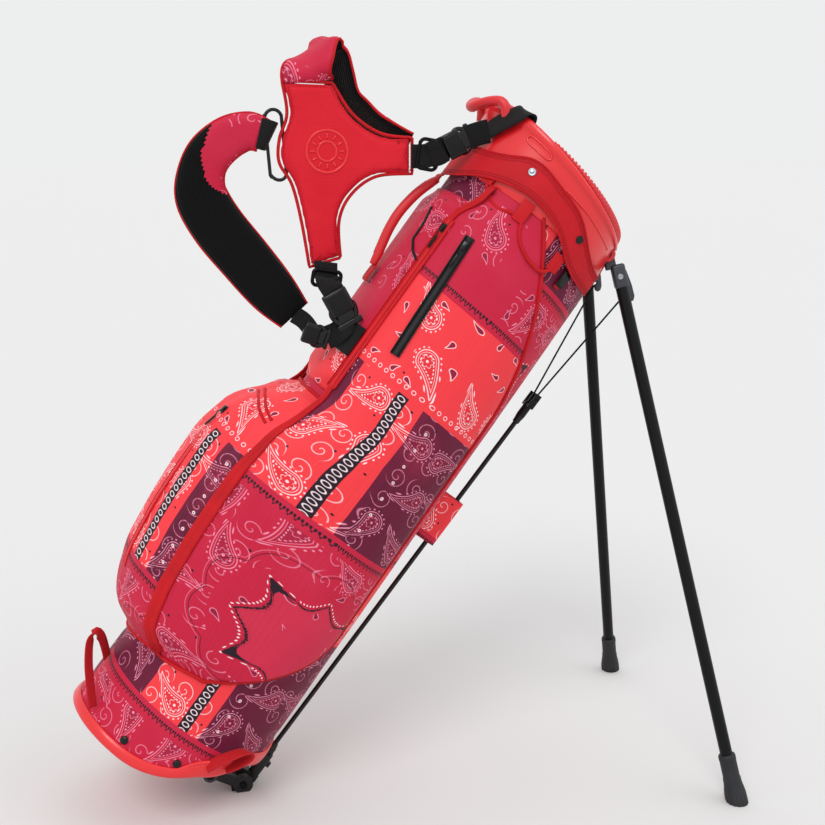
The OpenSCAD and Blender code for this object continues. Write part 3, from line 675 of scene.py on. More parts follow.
def print_fabric(name):
    mat, shader = start(name)
    x, y, vec = uv_mm()
    wob = noise_tex(vec, 0.012, 2.0)
    x = x + (wob - 0.5) * 6.0
    y = calc("FLOORED_MODULO", y + x * 0.06, PRINT_PERIOD)
    col_x = calc("FLOORED_MODULO", x + 120.0, 240.0) - 120.0

    wreath_row = calc("LESS_THAN", y, 214.0)
    strips = between(y, 232.0, 404.0)
    drops = between(y, 404.0, 520.0)
    top_row = above(y, 536.0)
    leaf_rows = clamp01(between(y, 214.0, 232.0) + between(y, 520.0, 536.0))
    chain_x = between(col_x, -8.0, 5.0)
    coral_strip = strips * between(col_x, -62.0, 20.0)
    dark_strip = strips - coral_strip
    coral = clamp01(coral_strip + drops)

    color = rgb_mix(coral, CRIMSON, CORAL)
    color = rgb_mix(dark_strip, color, MAROON)
    shade = noise_tex(vec, 0.008, 2.0)
    color = rgb_mix(clamp01((shade - 0.5) * 2.4) * 0.55 * (1.0 - coral), color, ROSE)
    line_color = rgb_mix(coral, PINK, WHITE)

    # Wreath of scallops with a dotted line outside a leafy one, empty within.
    wy = y - 101.0
    wx = col_x - 57.0
    wr = length(wx, wy)
    turn = calc("ARCTAN2", wy, wx) * (1 / (2 * math.pi))
    scallop = absolute(calc("SINE", turn * (8 * math.pi)))
    point = most(calc("COSINE", turn * (8 * math.pi)) * -1.0, 0.0)
    wreath_r = 60.0 - scallop * 12.0 + calc("POWER", point, 9.0) * 9.0
    wd = wr - wreath_r
    rough_edge = (noise_tex(vec, 0.7, 1.0) - 0.5) * 4.4
    cusp = calc("POWER", point, 24.0)
    leafy = clamp01(line(wd + rough_edge, 1.1) + inside(absolute(wd + 2.5) - cusp * 6.0)) * wreath_row
    dots = ring_dots(wd, 4.8, turn, 92.0, 4.4, 0.95) * wreath_row
    outer_r = 86.0 + absolute(calc("SINE", turn * (10 * math.pi))) * 9.0
    outer = line(wr - outer_r, 0.35, 0.35) * wreath_row
    outer_2 = line(wr - outer_r - 3.2, 0.2, 0.3) * wreath_row
    calm = calc("LESS_THAN", wr, 80.0) * wreath_row
    color = rgb_mix(clamp01((most(wd, 0.0) * -1.0 + 1.0)) * wreath_row * 0.35, color, ROSE)

    # Large paisleys everywhere but inside the wreath.
    d, qx, qy, rnd = teardrop(x, y, 58.0, 50.0, 3.0)
    busy = clamp01(strips * (1.0 - chain_x) + top_row * above(rnd, 0.28) + wreath_row * (1.0 - calm)
                   + drops * above(rnd, 0.6))
    spin = calc("ARCTAN2", qy, qx) * (1 / (2 * math.pi))
    mask = clamp01(line(d, 0.45) + line(d + 2.6, 0.22, 0.25) + ring_dots(d, 2.9, spin, 17.0, 4.6, 0.85))
    qr = length(qx, qy)
    petal = 4.6 + absolute(calc("SINE", spin * (6 * math.pi))) * 2.2
    flower = clamp01(line(qr - petal, 0.3) + inside(qr - 1.5))
    comb = line(d + 5.2, 0.6) * above(fract(qy * 0.28), 0.45)
    mask = clamp01(mask + flower * inside(d + 1.0) + comb)
    color = rgb_mix(inside(d + 3.4) * busy * 0.55, color, rgb_mix(coral, srgb("#8d1638"), srgb("#d9202f")))
    color = rgb_mix(mask * busy * 0.92, color, line_color)

    # Curling lines that fill the ground between them.
    gx, gy = x / 29.0 + 0.35, y / 29.0 + 0.2
    ix, iy = floor(gx), floor(gy)
    s1, s2, s3 = chance(ix, iy, 9.0)
    fx, fy = (gx - ix - 0.5) * 29.0, (gy - iy - 0.5) * 29.0
    fr = length(fx, fy)
    swirl = fract(calc("ARCTAN2", fy, fx) * (1 / (2 * math.pi)) + fr * 0.13 + s1)
    curl_line = line(swirl - 0.5, 0.055, 0.05) * calc("LESS_THAN", fr, 12.5) * inside(4.2 - d)
    color = rgb_mix(curl_line * busy * clamp01(1.0 - drops) * above(s2, 0.25) * 0.75, color, line_color)
    blob = inside(length(fx - 9.0, fy - 9.0) - 1.3) * above(s3, 0.55) * inside(3.4 - d)
    color = rgb_mix(blob * busy, color, INK)

    # Small scattered drops.
    d2, _, _, rnd2 = teardrop(x, y, 31.0, 12.5, 17.0, 0.45, 0.03)
    sparse = clamp01(drops * above(rnd2, 0.3) + calm * above(rnd2, 0.62) * above(wr, 30.0)
                     + top_row * above(rnd2, 0.8))
    away = inside(5.0 - absolute(wd))
    sparse = sparse * (1.0 - wreath_row * (1.0 - away)) * clamp01(1.0 - busy * inside(d - 5.0))
    color = rgb_mix(inside(d2 + 0.6) * sparse, color, srgb("#8d1638"))
    color = rgb_mix(line(d2, 0.32) * sparse, color, line_color)

    color = rgb_mix(leafy, color, INK)
    color = rgb_mix(dots, color, WHITE)
    color = rgb_mix(outer, color, INK)
    color = rgb_mix(outer_2 * 0.8, color, PINK)

    # Rows of little rings along the edge of the coral patches.
    ring_x, ring_y = (fract(x / 9.5) - 0.5) * 9.5, y - 413.0
    rings = line(length(ring_x, ring_y) - 2.2, 0.35)
    color = rgb_mix(rings * drops, color, WHITE)

    # Leaf borders between the rows, and the chain between the strips.
    leaf_y = y - 223.0 - above(y, 400.0) * 305.0 + (noise_tex(vec, 0.02, 0.0) - 0.5) * 2.0
    leaf_x = (fract(x / 6.2) - 0.5) * 6.2
    leaves = (inside(length(absolute(leaf_x) - 1.7, (leaf_y - 1.4) * 0.62) - 1.15)
              + inside(length(leaf_x, leaf_y + 2.6) - 0.95))
    leaves = leaves + inside(length(absolute(leaf_x) - 1.1, leaf_y + 0.9) - 0.7)
    color = rgb_mix(clamp01(leaves) * leaf_rows, color, INK)
    chain_mid = absolute(col_x + 1.5)
    link_y = (fract(y / 8.4) - 0.5) * 8.4
    link_d = length(chain_mid * 0.75, link_y * 1.15) - 2.9
    color = rgb_mix(chain_x * strips, color, INK)
    color = rgb_mix(line(link_d, 0.5) * chain_x * strips, color, WHITE)
    edge_x = absolute(col_x - 34.0)
    small = inside(length(edge_x, (fract(y / 22.0) - 0.5) * 22.0) - 1.8) - inside(
        length(edge_x, (fract(y / 22.0) - 0.5) * 22.0) - 0.8)
    seams = line(edge_x - 5.0, 0.3) + line(edge_x - 8.0, 0.25)
    color = rgb_mix(clamp01(small) * dark_strip, color, WHITE)
    color = rgb_mix(clamp01(seams) * dark_strip * 0.8, color, INK)

    grid = thread_grid(x, y, 3.4)
    color = rgb_mix(grid * 0.10, color, INK)
    height = ripstop_height(x, y)
    folds = noise_tex(vec, 0.03, 3.0)
    normal = bump(height, 0.5, 0.22, bump(folds, 0.35, 3.0))
    finish_shader(shader, color, 0.55, normal, sheen=0.08, tint=srgb("#ff8090"), spec=0.22)
    return mat


# ---------------------------------------------------------------- other materials
def moulded(name, color, dark, rough=0.28, grain=0.05, coat=0.0, wear=0.35, spec=0.5):
    """Moulded plastic: faint orange peel, small rubs that roughen it, and edges rounded in the shading."""
    mat, shader = start(name)
    _, vec = place_mm()
    fine = noise_tex(vec, 900.0, 2.0)
    broad = noise_tex(vec, 14.0, 4.0)
    scuff = clamp01((noise_tex(vec, 160.0, 6.0, 0.7) - 0.6) * 5.0)
    col = rgb_mix(clamp01((broad - 0.3) * 1.4), srgb(dark), srgb(color))
    r = rough + (broad - 0.5) * 0.12 + scuff * wear * 0.3
    finish_shader(shader, col, r, bump(fine, grain, 0.25, bevel_normal(0.7)), coat=coat, spec=spec)
    return mat


def metal(name, color, rough=0.35, brushed=False, metallic=1.0, spec=0.5):
    mat, shader = start(name)
    (x, y, z), vec = place_mm()
    streak = noise_tex(combine(x * 0.3, y * 0.3, z * 0.02) if brushed else vec, 1.0 if brushed else 300.0, 3.0)
    broad = noise_tex(vec, 20.0, 4.0)
    col = rgb_mix(clamp01(broad), srgb(color), tuple(min(1, c * 1.5) for c in srgb(color)[:3]) + (1,))
    finish_shader(shader, col, rough + (streak - 0.5) * 0.16, bump(streak, 0.06, 0.2, bevel_normal(0.5)),
                  metal=metallic, spec=spec)
    return mat


def webbing(name, color, light, rough=0.75):
    """Woven tape: ribs across and a herringbone of threads along it, from its UV in mm."""
    mat, shader = start(name)
    x, y, _ = uv_mm()
    tri = absolute(fract(x / 3.2) - 0.5)
    thread = calc("SINE", (y + tri * 2.2) * (2 * math.pi / 1.3))
    cord = calc("SINE", x * (2 * math.pi / 1.6))
    h = thread * 0.5 + cord * 0.35
    # Painted light: the raised threads are coloured paler and the hollows darker, by the same height that
    # drives the bump.
    col = rgb_mix(clamp01(h * 0.5 + 0.4), srgb(color), srgb(light))
    finish_shader(shader, col, rough, bump(h, 0.7, 0.35), sheen=0.06, spec=0.25)
    return mat


def corduroy(name, color, light, pitch=4.2):
    """Ribbed lining whose cords run along the strap."""
    mat, shader = start(name)
    x, _, vec = uv_mm()
    wave = absolute(calc("SINE", (x + (noise_tex(vec, 0.08, 2.0) - 0.5) * 1.2) * (math.pi / pitch)))
    nap = noise_tex(vec, 1.4, 3.0)
    # Partly painted light: the cords are paler on their crowns and darker in the grooves, by the same wave as
    # the bump; the nap noise is the cloth's own uneven tone.
    col = rgb_mix(clamp01(wave * 0.75 + nap * 0.25), srgb(color), srgb(light))
    finish_shader(shader, col, 0.9, bump(wave + nap * 0.25, 0.9, 1.1), sheen=0.06, spec=0.15)
    return mat


def rubber_like(name, color, light, rough=0.6):
    mat, shader = start(name)
    _, vec = place_mm()
    n = noise_tex(vec, 500.0, 4.0)
    dust = clamp01((noise_tex(vec, 30.0, 5.0) - 0.52) * 3.0)
    finish_shader(shader, rgb_mix(dust * 0.5, srgb(color), srgb(light)), rough + dust * 0.2,
                  bump(n, 0.2, 0.3, bevel_normal(0.8)), spec=0.4)
    return mat


def zip_tape(name, color, dark, teeth):
    """Zip: woven tape at the sides and a coil of teeth along the middle (UV x from 0 to 1 across)."""
    mat, shader = start(name)
    x, y, _ = uv_mm()
    mid = absolute(x - 0.5)
    coil = calc("LESS_THAN", mid, 0.2)
    tooth = absolute(calc("SINE", (y + mid * 3.0) * (math.pi / 1.5)))
    weave = calc("SINE", y * (2 * math.pi / 0.9)) * 0.4
    h = coil * (tooth + 0.4) + (1.0 - coil) * weave
    # Painted shade: the coil is darkened in the gaps between its teeth, and the teeth take their own colour.
    col = rgb_mix(coil * (1.0 - tooth) * 0.8, srgb(color), srgb(dark))
    col = rgb_mix(coil * tooth, col, srgb(teeth))
    col = rgb_mix(line(mid - 0.36, 0.02, 0.02) * 0.5, col, srgb(dark))
    finish_shader(shader, col, 0.5, bump(h, 0.7, 0.5), spec=0.4)
    return mat


PRINT = print_fabric("bandana_print")
RIPSTOP = plain_fabric("red_ripstop", "#cc1524", "#b40d1a", cell=3.2)
PAD_FABRIC = plain_fabric("red_ripstop_pad", "#de2233", "#cc1226", cell=3.4, use_uv=False)
BINDING = plain_fabric("red_binding", "#d8141f", "#b00c16", cell=1.2, grid_show=0.1)
LINING = plain_fabric("dark_lining", "#1e181b", "#100d0f", cell=2.4, sheen=0.05)
CORAL_GLOSS = moulded("coral_gloss", "#e22228", "#d91c23", rough=0.3, coat=0.25)
CORAL_SOFT = moulded("coral_soft", "#d9262d", "#cc1e27", rough=0.42, grain=0.12)
BLACK_PLASTIC = moulded("black_plastic", "#0b0b0d", "#060607", rough=0.42, grain=0.15, spec=0.26)
BLACK_GLOSS = moulded("black_gloss", "#0a0a0c", "#060607", rough=0.26, coat=0.12, grain=0.02, spec=0.3)
BLACK_TUBE = metal("black_anodised", "#0a0b0d", rough=0.4, brushed=True, metallic=0.3, spec=0.25)
GUNMETAL = metal("gunmetal", "#3d3f44", rough=0.42, metallic=0.75)
STEEL = metal("snap_steel", "#8e9096", rough=0.32)
DARK_STEEL = metal("dark_steel", "#101113", rough=0.36, metallic=0.7, spec=0.3)
FEET_RUBBER = rubber_like("foot_rubber", "#1c1d20", "#3a3b3e")
SLEEVE_RUBBER = rubber_like("sleeve_rubber", "#101113", "#242528", rough=0.5)
WEB_BLACK = webbing("black_webbing", "#040405", "#111113")
WEB_RED = webbing("red_webbing", "#a50d18", "#d2141f", rough=0.6)
CORD_BLACK = corduroy("black_corduroy", "#020203", "#0f0f11", pitch=3.2)
ZIP_BLACK = zip_tape("black_zip", "#0e0e11", "#040405", "#1c1c20")
ZIP_RED = zip_tape("red_zip", "#e21b26", "#980d18", "#f0323a")
THREAD = plain_fabric("thread_red", "#a40c18", "#7c0a12", cell=0.8, grid_show=0.4)
FIBREGLASS = moulded("fibreglass", "#d8d4c8", "#c2bdae", rough=0.45)


# ---------------------------------------------------------------- stage, light, camera
def make_stage():
    bpy.ops.mesh.primitive_plane_add(size=1)
    floor_obj = bpy.context.object
    floor_obj.name = "floor"
    floor_obj.scale = (60, 60, 1)
    mat, shader = start("pale_floor")
    tex = Num.tree.nodes.new("ShaderNodeTexCoord")
    n = noise_tex(tex.outputs["Object"], 3.0, 3.0)
    finish_shader(shader, rgb_mix(n, srgb("#d4d4d4"), srgb("#d6d6d5")), 0.9, spec=0.0)
    floor_obj.data.materials.append(mat)
    world = bpy.data.worlds.new("studio")
    bpy.context.scene.world = world
    world.use_nodes = True
    world.node_tree.nodes["Background"].inputs[0].default_value = (0.852, 0.855, 0.86, 1)
    world.node_tree.nodes["Background"].inputs[1].default_value = 1.0

    def sun(name, toward, power, spread, color=(1, 1, 1)):
        data = bpy.data.lights.new(name, "SUN")
        data.energy, data.angle, data.color = power, math.radians(spread), color
        light = bpy.data.objects.new(name, data)
        light.rotation_euler = Vector(toward).to_track_quat("Z", "Y").to_euler()
        bpy.context.scene.collection.objects.link(light)

    sun("key", (-0.5, -0.75, 1.0), 1.15, 28)
    sun("fill", (0.9, -0.5, 0.7), 0.45, 50)
    sun("top", (0.1, 0.3, 1.0), 0.25, 60)
    bpy.context.scene.view_settings.view_transform = "Standard"

    cam = bpy.data.cameras.new("camera")
    cam.lens, cam.sensor_width = 53.0, 36.0
    obj = bpy.data.objects.new("camera", cam)
    obj.location = (-0.125, -1.4, 0.8)
    obj.rotation_euler = (math.radians(90 - 13.0), 0, math.radians(-14.2))
    bpy.context.scene.collection.objects.link(obj)
    bpy.context.scene.camera = obj


make_stage()


# ---------------------------------------------------------------- body and pockets
FAR = np.array([1, -1, 1])
U_PER_DEG = 1.885
BODY_U = 185.0
# Leg pivots in the bag frame, toes on the floor in the row frame, and the lean of a folded leg.
PIVOT_A, PIVOT_B, PIVOT_C = -44, 43, 800
TOE_X, TOE_Y, TOE_Z = 580, 190, 9
FOLD_OUT = math.radians(8)


def leg_frame(s):
    """Pivot of a leg in mm, and its directions: out from the bag's back, along the hinge, up the leg."""
    o = row_mm([PIVOT_A, s * PIVOT_B, PIVOT_C])
    u = unit(o - np.array([TOE_X, s * TOE_Y, TOE_Z]))
    h = unit(np.cross(u, row_mm([-math.sin(FOLD_OUT), 0, math.cos(FOLD_OUT)])))
    return o, np.cross(h, u), h, u


def cut_wells(*pieces):
    """Cuts the room for each leg and its ears out of the back of the body or the collar."""
    wells = []
    for s in (-1, 1):
        o, _, h, _ = leg_frame(s)
        back = row_mm([1, 0, 0])
        x = unit(back - (back @ h) * h)
        z = np.cross(x, h)
        wells.append(box_at("well%d" % s, (60, 26, 67), o - z * 22.5, (x, h, z), 0.5, CORAL_GLOSS, segments=1))
    for piece in pieces:
        cut(piece, wells)
    for w in wells:
        bpy.data.objects.remove(w)


def body_print():
    m, n = 150, 180
    c_top = 782.0
    t = np.linspace(-180, 180, n)
    low = boot_top(t) - 5
    f = np.linspace(0, 1, m)[:, None]
    c = low[None] + (c_top - low[None]) * f
    T = np.broadcast_to(t[None], c.shape)
    P = on_body(T, c)
    N = normal_of(on_body, T, c)
    seam = np.exp(-((c - 92) / 6.0) ** 2) * -0.8
    loose = smooth((c - 20) / 60) * 0.9
    P = P + N * seam[..., None]
    P = crinkle(P, N, loose, 60.0, 3.0, (1, 1, 0.5))
    uv = np.stack([T * U_PER_DEG + BODY_U, c + 170], -1)
    obj = sheet_obj("body_print", row(P), uv, PRINT, "bag", thick=1.4)
    inner = on_body(T, c, -3.5)
    lining = sheet_obj("body_lining", row(inner), uv, LINING, "bag", flip=True)
    cut_wells(obj, lining)
    mark(obj, "body_shell")
    mark(lining)


def boot():
    """Moulded boot: a rounded rim that bends into the flat heel, closed underneath."""
    n = 160
    t = np.linspace(-180, 180, n, endpoint=False)
    top = boot_top(t)
    p = on_body(t, 0)
    low = boot_low(t, p[:, 0])
    rings = []
    for f, off in ((1.0, 0.4), (1.0, 1.8), (0.96, 2.6), (0.8, 3.5), (0.5, 4.3), (0.25, 4.3), (0.1, 3.4),
                   (0.02, 1.6), (0.0, -1.0)):
        q = on_body(t, low + (top - low) * f, off)
        rings.append(q)
    for off in (-6, -18, -40, -65, -88):
        q = on_body(t, 0, off)
        rings.append(np.stack([q[:, 0], q[:, 1], boot_low(t, q[:, 0])], -1))
    R = np.array(rings)
    faces = [list(f) for f in grid_faces(len(R), n, True)] + [[(len(R) - 1) * n + k for k in range(n)]]
    obj = add_object("moulded_boot", row(R).reshape(-1, 3), [f[::-1] for f in faces], CORAL_GLOSS, "bag")
    mark(obj, "base_boot")
    # Stitched line where the heel of the boot meets the cloth, and the rivets above the rim.
    for s in (-1, 1):
        ts = np.linspace(s * 84, s * 40, 30)
        q = on_body(ts, boot_top(ts) - 3.5, 3.1)
        stitches("boot_stitch_%d" % (s + 1), row_mm(q), THREAD, "bag")
    rivets = []
    for k, (tr, cr) in enumerate(((-122, 13), (-89, 25), (122, 13), (89, 25))):
        q = on_body(tr, cr, 1.0).ravel()
        nn = normal_of(on_body, float(tr), float(cr)).ravel()
        rivets.append(lathe("boot_rivet_%d" % k,
                            [(0.01, -1), (4.9, -1), (4.9, 0.4), (4.3, 1.2), (2.6, 1.7), (0.01, 1.9)],
                            row_mm(q), row_mm(nn), BLACK_GLOSS, None, 28))
    obj = joined("boot_rivet_heads", rivets, "bag")
    mark(obj, "boot_rivets")


def pocket_skin(name, rows, cols, spot, fill, uv_shift, mirror=False, puff=1.5, seed=1.0, node=None):
    v, u = np.meshgrid(np.linspace(0, 1, rows), np.linspace(0, 1, cols), indexing="ij")
    t, c = spot(u, v)
    inner = on_body(t, c, 1.0)
    outer = outer_form(t, c)
    k = fill(u, v)[..., None]
    P = inner + (outer - inner) * k
    N = normal_of(outer_form, t, c)
    room = smooth(np.minimum(np.minimum(u, 1 - u) / 0.12, np.minimum(v, 1 - v) / 0.1))
    P = crinkle(P, N, room * puff, 75.0, seed, (1, 1, 0.45))
    P = crinkle(P, N, room * puff * 0.35, 24.0, seed + 7, (1.6, 1.6, 0.35))
    if mirror:
        P = P * FAR
    uv = np.stack([t * U_PER_DEG + uv_shift[0], c + uv_shift[1]], -1)
    obj = sheet_obj(name, row(P), uv, PRINT, "bag", thick=1.2, flip=mirror)
    if node:
        mark(obj, node)
    return obj


def apparel_spot(u, v):
    low = 115 + 8 * smooth(u)
    c = low + (779 - low) * v ** 1.35
    return spine_t(c) + 0.7 + (pocket_back(c) - spine_t(c) - 0.7) * u, c


def apparel_fill(u, v):
    w = v ** 1.35
    edge = np.sqrt(smooth((1 - u) / 0.10))
    return np.minimum(np.minimum(np.sqrt(smooth(w * 664 / 30)), smooth((1 - w) / 0.07)), edge)


def ball_spot(u, v):
    low = pocket_low(-180 + 46 * np.abs(1 - 2 * u))
    c = low + (462 - low) * v ** 1.2
    s = spine_t(c) - 0.7
    return s + (-360 - 2 * s) * u, c


def ball_fill(u, v):
    w = v ** 1.2
    return np.minimum(np.sqrt(smooth(w * 350 / 30)), smooth((1 - w) / 0.05))


def top_spot(u, v):
    c = 472 + (742 - 472) * v
    s = spine_t(c) - 0.7
    return s + (-360 - 2 * s) * u, c


def pockets():
    pocket_skin("near_pocket", 150, 70, apparel_spot, apparel_fill, (192.5, -118), seed=1.0,
                node="apparel_pocket_near")
    pocket_skin("far_pocket", 110, 50, apparel_spot, apparel_fill, (130, 60), mirror=True, seed=5.0,
                node="apparel_pocket_far")
    pocket_skin("ball_pocket_skin", 90, 90, ball_spot, ball_fill, (300, 40), seed=9.0, puff=2.0,
                node="ball_pocket")
    pocket_skin("top_pocket_skin", 70, 70, top_spot,
                lambda u, v: np.minimum(smooth(v / 0.08), smooth((1 - v) / 0.08)),
                (260, -20), seed=13.0, puff=1.0, node="top_pocket")
    # Wide red zip flap and piping that run up the spine between the pockets, and round the bottoms.
    for side, mirror in (("near", False), ("far", True)):
        c = np.linspace(120, 770, 70)
        sp = spine_t(c)
        k = np.sqrt(smooth((c - 114) / 30)) * smooth((790 - c) / 40)
        P = on_body(sp, c, 2.5) + (outer_form(sp, c) - on_body(sp, c, 2.5)) * k[:, None]
        N = normal_of(outer_form, sp, c)
        D = tangents(P)
        W = np.cross(N, D)
        W /= np.linalg.norm(W, axis=1, keepdims=True)
        wide = 2.2 + 6.0 * smooth((430 - c) / 140) + 1.6 * smooth((c - 300) / 60)
        Pm, Nm, Wm = P, N, W
        if mirror:
            Pm, Nm, Wm = P * FAR, N * FAR, W * FAR
        R, Nr, Wr = row_mm(Pm), row_mm(Nm), row_mm(Wm)
        flap = ribbon("spine_flap_" + side, R, Wr * wide[:, None], Nr,
                      [(-1, 0.2), (-0.96, 2.4), (-0.7, 3.2), (-0.2, 2.7), (0, 2.1), (0.2, 2.7), (0.7, 3.2),
                       (0.96, 2.4), (1, 0.2)],
                      BINDING, "bag")
        mark(flap)
        # The pocket's back and bottom piping.
        cc = np.concatenate([np.linspace(775, 240, 60), np.linspace(236, 123, 30)])
        P2 = on_body(pocket_back(cc), cc, 2.2)
        ts = np.linspace(pocket_back(123.0), -134, 16)[1:]
        P3 = on_body(ts, 115 + 8 * smooth((ts + 134) / (134 + pocket_back(123.0))), 2.8)
        P2 = np.vstack([P2, P3])
        if mirror:
            P2 = P2 * FAR
        pipe = tube("pocket_piping_" + side, row_mm(P2), 2.4, BINDING, "bag", step=5.0, sides=10)
        mark(pipe)
    # Piping under and over the ball pocket.
    for name, c0, o, r in (("ball_piping_low", 115.0, 2.8, 2.4), ("ball_piping_high", 461.0, 3.4, 1.9)):
        t = np.linspace(spine_t(c0), -360 - spine_t(c0), 60)
        P = on_body(t, pocket_low(np.maximum(t, -360 - t)) if c0 < 200 else np.full_like(t, c0), o)
        pipe = tube(name, row_mm(P), r, BINDING, "bag", step=5.0, sides=10)
        mark(pipe)


def seams():
    """Elastic mouth of the valuables sleeve, and the short zip over the ball pocket."""
    for name, pts, r, mat, slot in (
            ("sleeve_mouth", [(-169, 715), (-165, 693), (-164.5, 672), (-157, 660), (-148, 653)], 1.7,
             BLACK_PLASTIC, "black_plastic"),
            ("short_zip_a", [(-143, 404), (-155, 410), (-167, 417), (-180, 422)], 2.0, BINDING, "red_fabric"),
            ("short_zip_b", [(-143, 410), (-155, 416), (-167, 423), (-180, 428)], 2.0, BINDING, "red_fabric")):
        q = np.array(pts, float)
        q = np.stack([np.interp(np.linspace(0, 1, 24), np.linspace(0, 1, len(q)), q[:, k]) for k in (0, 1)])
        P = outer_form(q[0], q[1]) + normal_of(outer_form, q[0], q[1]) * 1.6
        mark(tube(name, row_mm(P), r, mat, "bag", step=3, sides=10))


def zip_line(name, ends, half, off, mat, node, fabric_edge=None):
    f = np.linspace(0, 1, 40)
    t = ends[0][0] + (ends[1][0] - ends[0][0]) * f
    c = ends[0][1] + (ends[1][1] - ends[0][1]) * f
    N = normal_of(outer_form, t, c)
    P = outer_form(t, c) + N * off
    D = tangents(P)
    W = np.cross(N, D)
    R, Nr, Wr = row_mm(P), row_mm(N), row_mm(W)
    prof = [(-half, -0.8), (-half, 0.2), (-half * 0.42, 0.35), (-half * 0.36, 0.9), (0, 1.25),
            (half * 0.36, 0.9), (half * 0.42, 0.35), (half, 0.2), (half, -0.8)]
    obj = ribbon(name, R, Wr, Nr, prof, mat, "bag")
    # UV x runs from 0 to 1 across the tape.
    layer = obj.data.uv_layers[0].data
    span = max(d.uv[0] for d in layer)
    for d in layer:
        d.uv = (d.uv[0] / span, d.uv[1])
    mark(obj, node)
    for s in (-1, 1):
        lip = tube(name + ("_lip_a" if s < 0 else "_lip_b"), R + Wr * (half - 0.6) * s + Nr * 0.3, 0.9,
                   fabric_edge or mat, "bag", step=5, sides=8, flat=0.7)
        mark(lip)


def puller(name, t, c, off, body, mat, cord_mat, node):
    """Zip slider with its tag on a short link."""
    n = normal_of(outer_form, t, c).ravel()
    d = (outer_form(t, c + 5) - outer_form(t, c - 5)).ravel()
    d /= np.linalg.norm(d)
    w = np.cross(d, n)
    o = (outer_form(t, c).ravel() + n * off)
    o, n, d, w = (row_mm(v) for v in (o, n, d, w))
    parts = [box_at(name + "_a", (6.6, 10.5, 1.3), o + n * 0.7, (w, d, n), 0.5, mat),
             box_at(name + "_b", (5.4, 9.0, 1.1), o + n * 3.0, (w, d, n), 0.5, mat),
             box_at(name + "_c", (1.6, 5.5, 2.6), o + n * 1.9 + d * 1.2, (w, d, n), 0.4, mat),
             tube(name + "_d",
                  [o + n * 2.6 - d * 4, o + n * 4.2 - d * 6.5, o + n * 3.4 - d * 10, o + n * 2.4 - d * 12],
                  0.8, mat, None, step=1.0, sides=8),
             box_at(name + "_e", (3.4, 16, 1.7), o + n * 2.5 - d * 20, (w, d, n), 0.6, cord_mat)]
    obj = joined(name, parts, body)
    mark(obj, node)


def zips():
    zip_line("valuables_zip_tape", ((-121, 552), (-125, 708)), 6, 1.4, ZIP_BLACK, "valuables_zip")
    zip_line("spine_zip_tape", ((-145, 480), (-145, 712)), 7, 1.4, ZIP_RED, "apparel_zip", BINDING)
    zip_line("ball_zip_tape", ((-172, 170), (-172, 396)), 6, 1.4, ZIP_RED, "ball_zip", BINDING)
    puller("valuables_slider", -124.7, 696.0, 2.6, "valuables_pull", BLACK_GLOSS, BLACK_PLASTIC,
           "valuables_pull")
    puller("spine_slider", -145.0, 700.0, 2.6, "apparel_pull", BLACK_GLOSS, BLACK_PLASTIC, "apparel_pull")
    puller("ball_slider", -172.0, 384.0, 2.8, "ball_pull", BLACK_GLOSS, BLACK_PLASTIC, "ball_pull")


# ---------------------------------------------------------------- top of the bag
def rim_at(a):
    return 833 - 0.23 * (a + 128)


def collar_ring(t, f, off):
    """Points of the collar at fraction f from skirt to rim."""
    p = on_body(t, 780.0, off + 3 + f)
    a = p[..., 0] - 7 * f
    return np.stack([a, p[..., 1], 771 + (rim_at(a) - 771) * f], -1)


def collar():
    n = 168
    t = np.linspace(0, 360, n, endpoint=False)
    outer = [(0, -0.6), (0.01, 0), (0.2, 0.1), (0.4, 0.2), (0.6, 0.1), (0.78, 0), (0.84, 0.1), (0.865, 0.8),
             (0.885, 2.3), (0.91, 3.0), (0.96, 3.1), (0.985, 2.6), (1, 1.4)]
    inner = [(1, -1.6), (0.985, -3.2), (0.95, -4), (0.6, -4), (0.2, -4), (0.01, -4), (0, -3.4)]
    R = np.stack([collar_ring(t, f, o) for f, o in outer + inner])
    m = len(R)
    faces = grid_faces(m, n, True, True)
    obj = add_object("collar_shell", row(R).reshape(-1, 3), faces[:, ::-1], CORAL_GLOSS, None)
    cut_wells(obj)
    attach(obj, "bag")
    mark(obj, "collar")
    # Raised oval outline of the strap slot on both sides, and the second ridge under the rim.
    for s, tag in ((-1, "near"), (1, "far")):
        a = np.linspace(0, 2 * np.pi, 60, endpoint=False)
        ts = s * (124 + 9.5 * np.sign(np.cos(a)) * np.abs(np.cos(a)) ** 0.35)
        q = np.stack([collar_ring(tt, ff, 0.6).ravel() for tt, ff in zip(ts, 0.8 + 0.055 * np.sin(a))])
        slot = tube("collar_slot_" + tag, row_mm(q), 1.25, CORAL_GLOSS, "bag", closed=True, sampled=True,
                    sides=10)
        mark(slot)
        ts = np.linspace(s * 112, s * 44, 50)
        q = np.stack([collar_ring(tt, 0.66 - 0.05 * abs(s * 78 - tt) / 34, 0.0).ravel() for tt in ts])
        mark(tube("collar_ridge_" + tag, row_mm(q), 1.3, CORAL_GLOSS, "bag", sides=10))


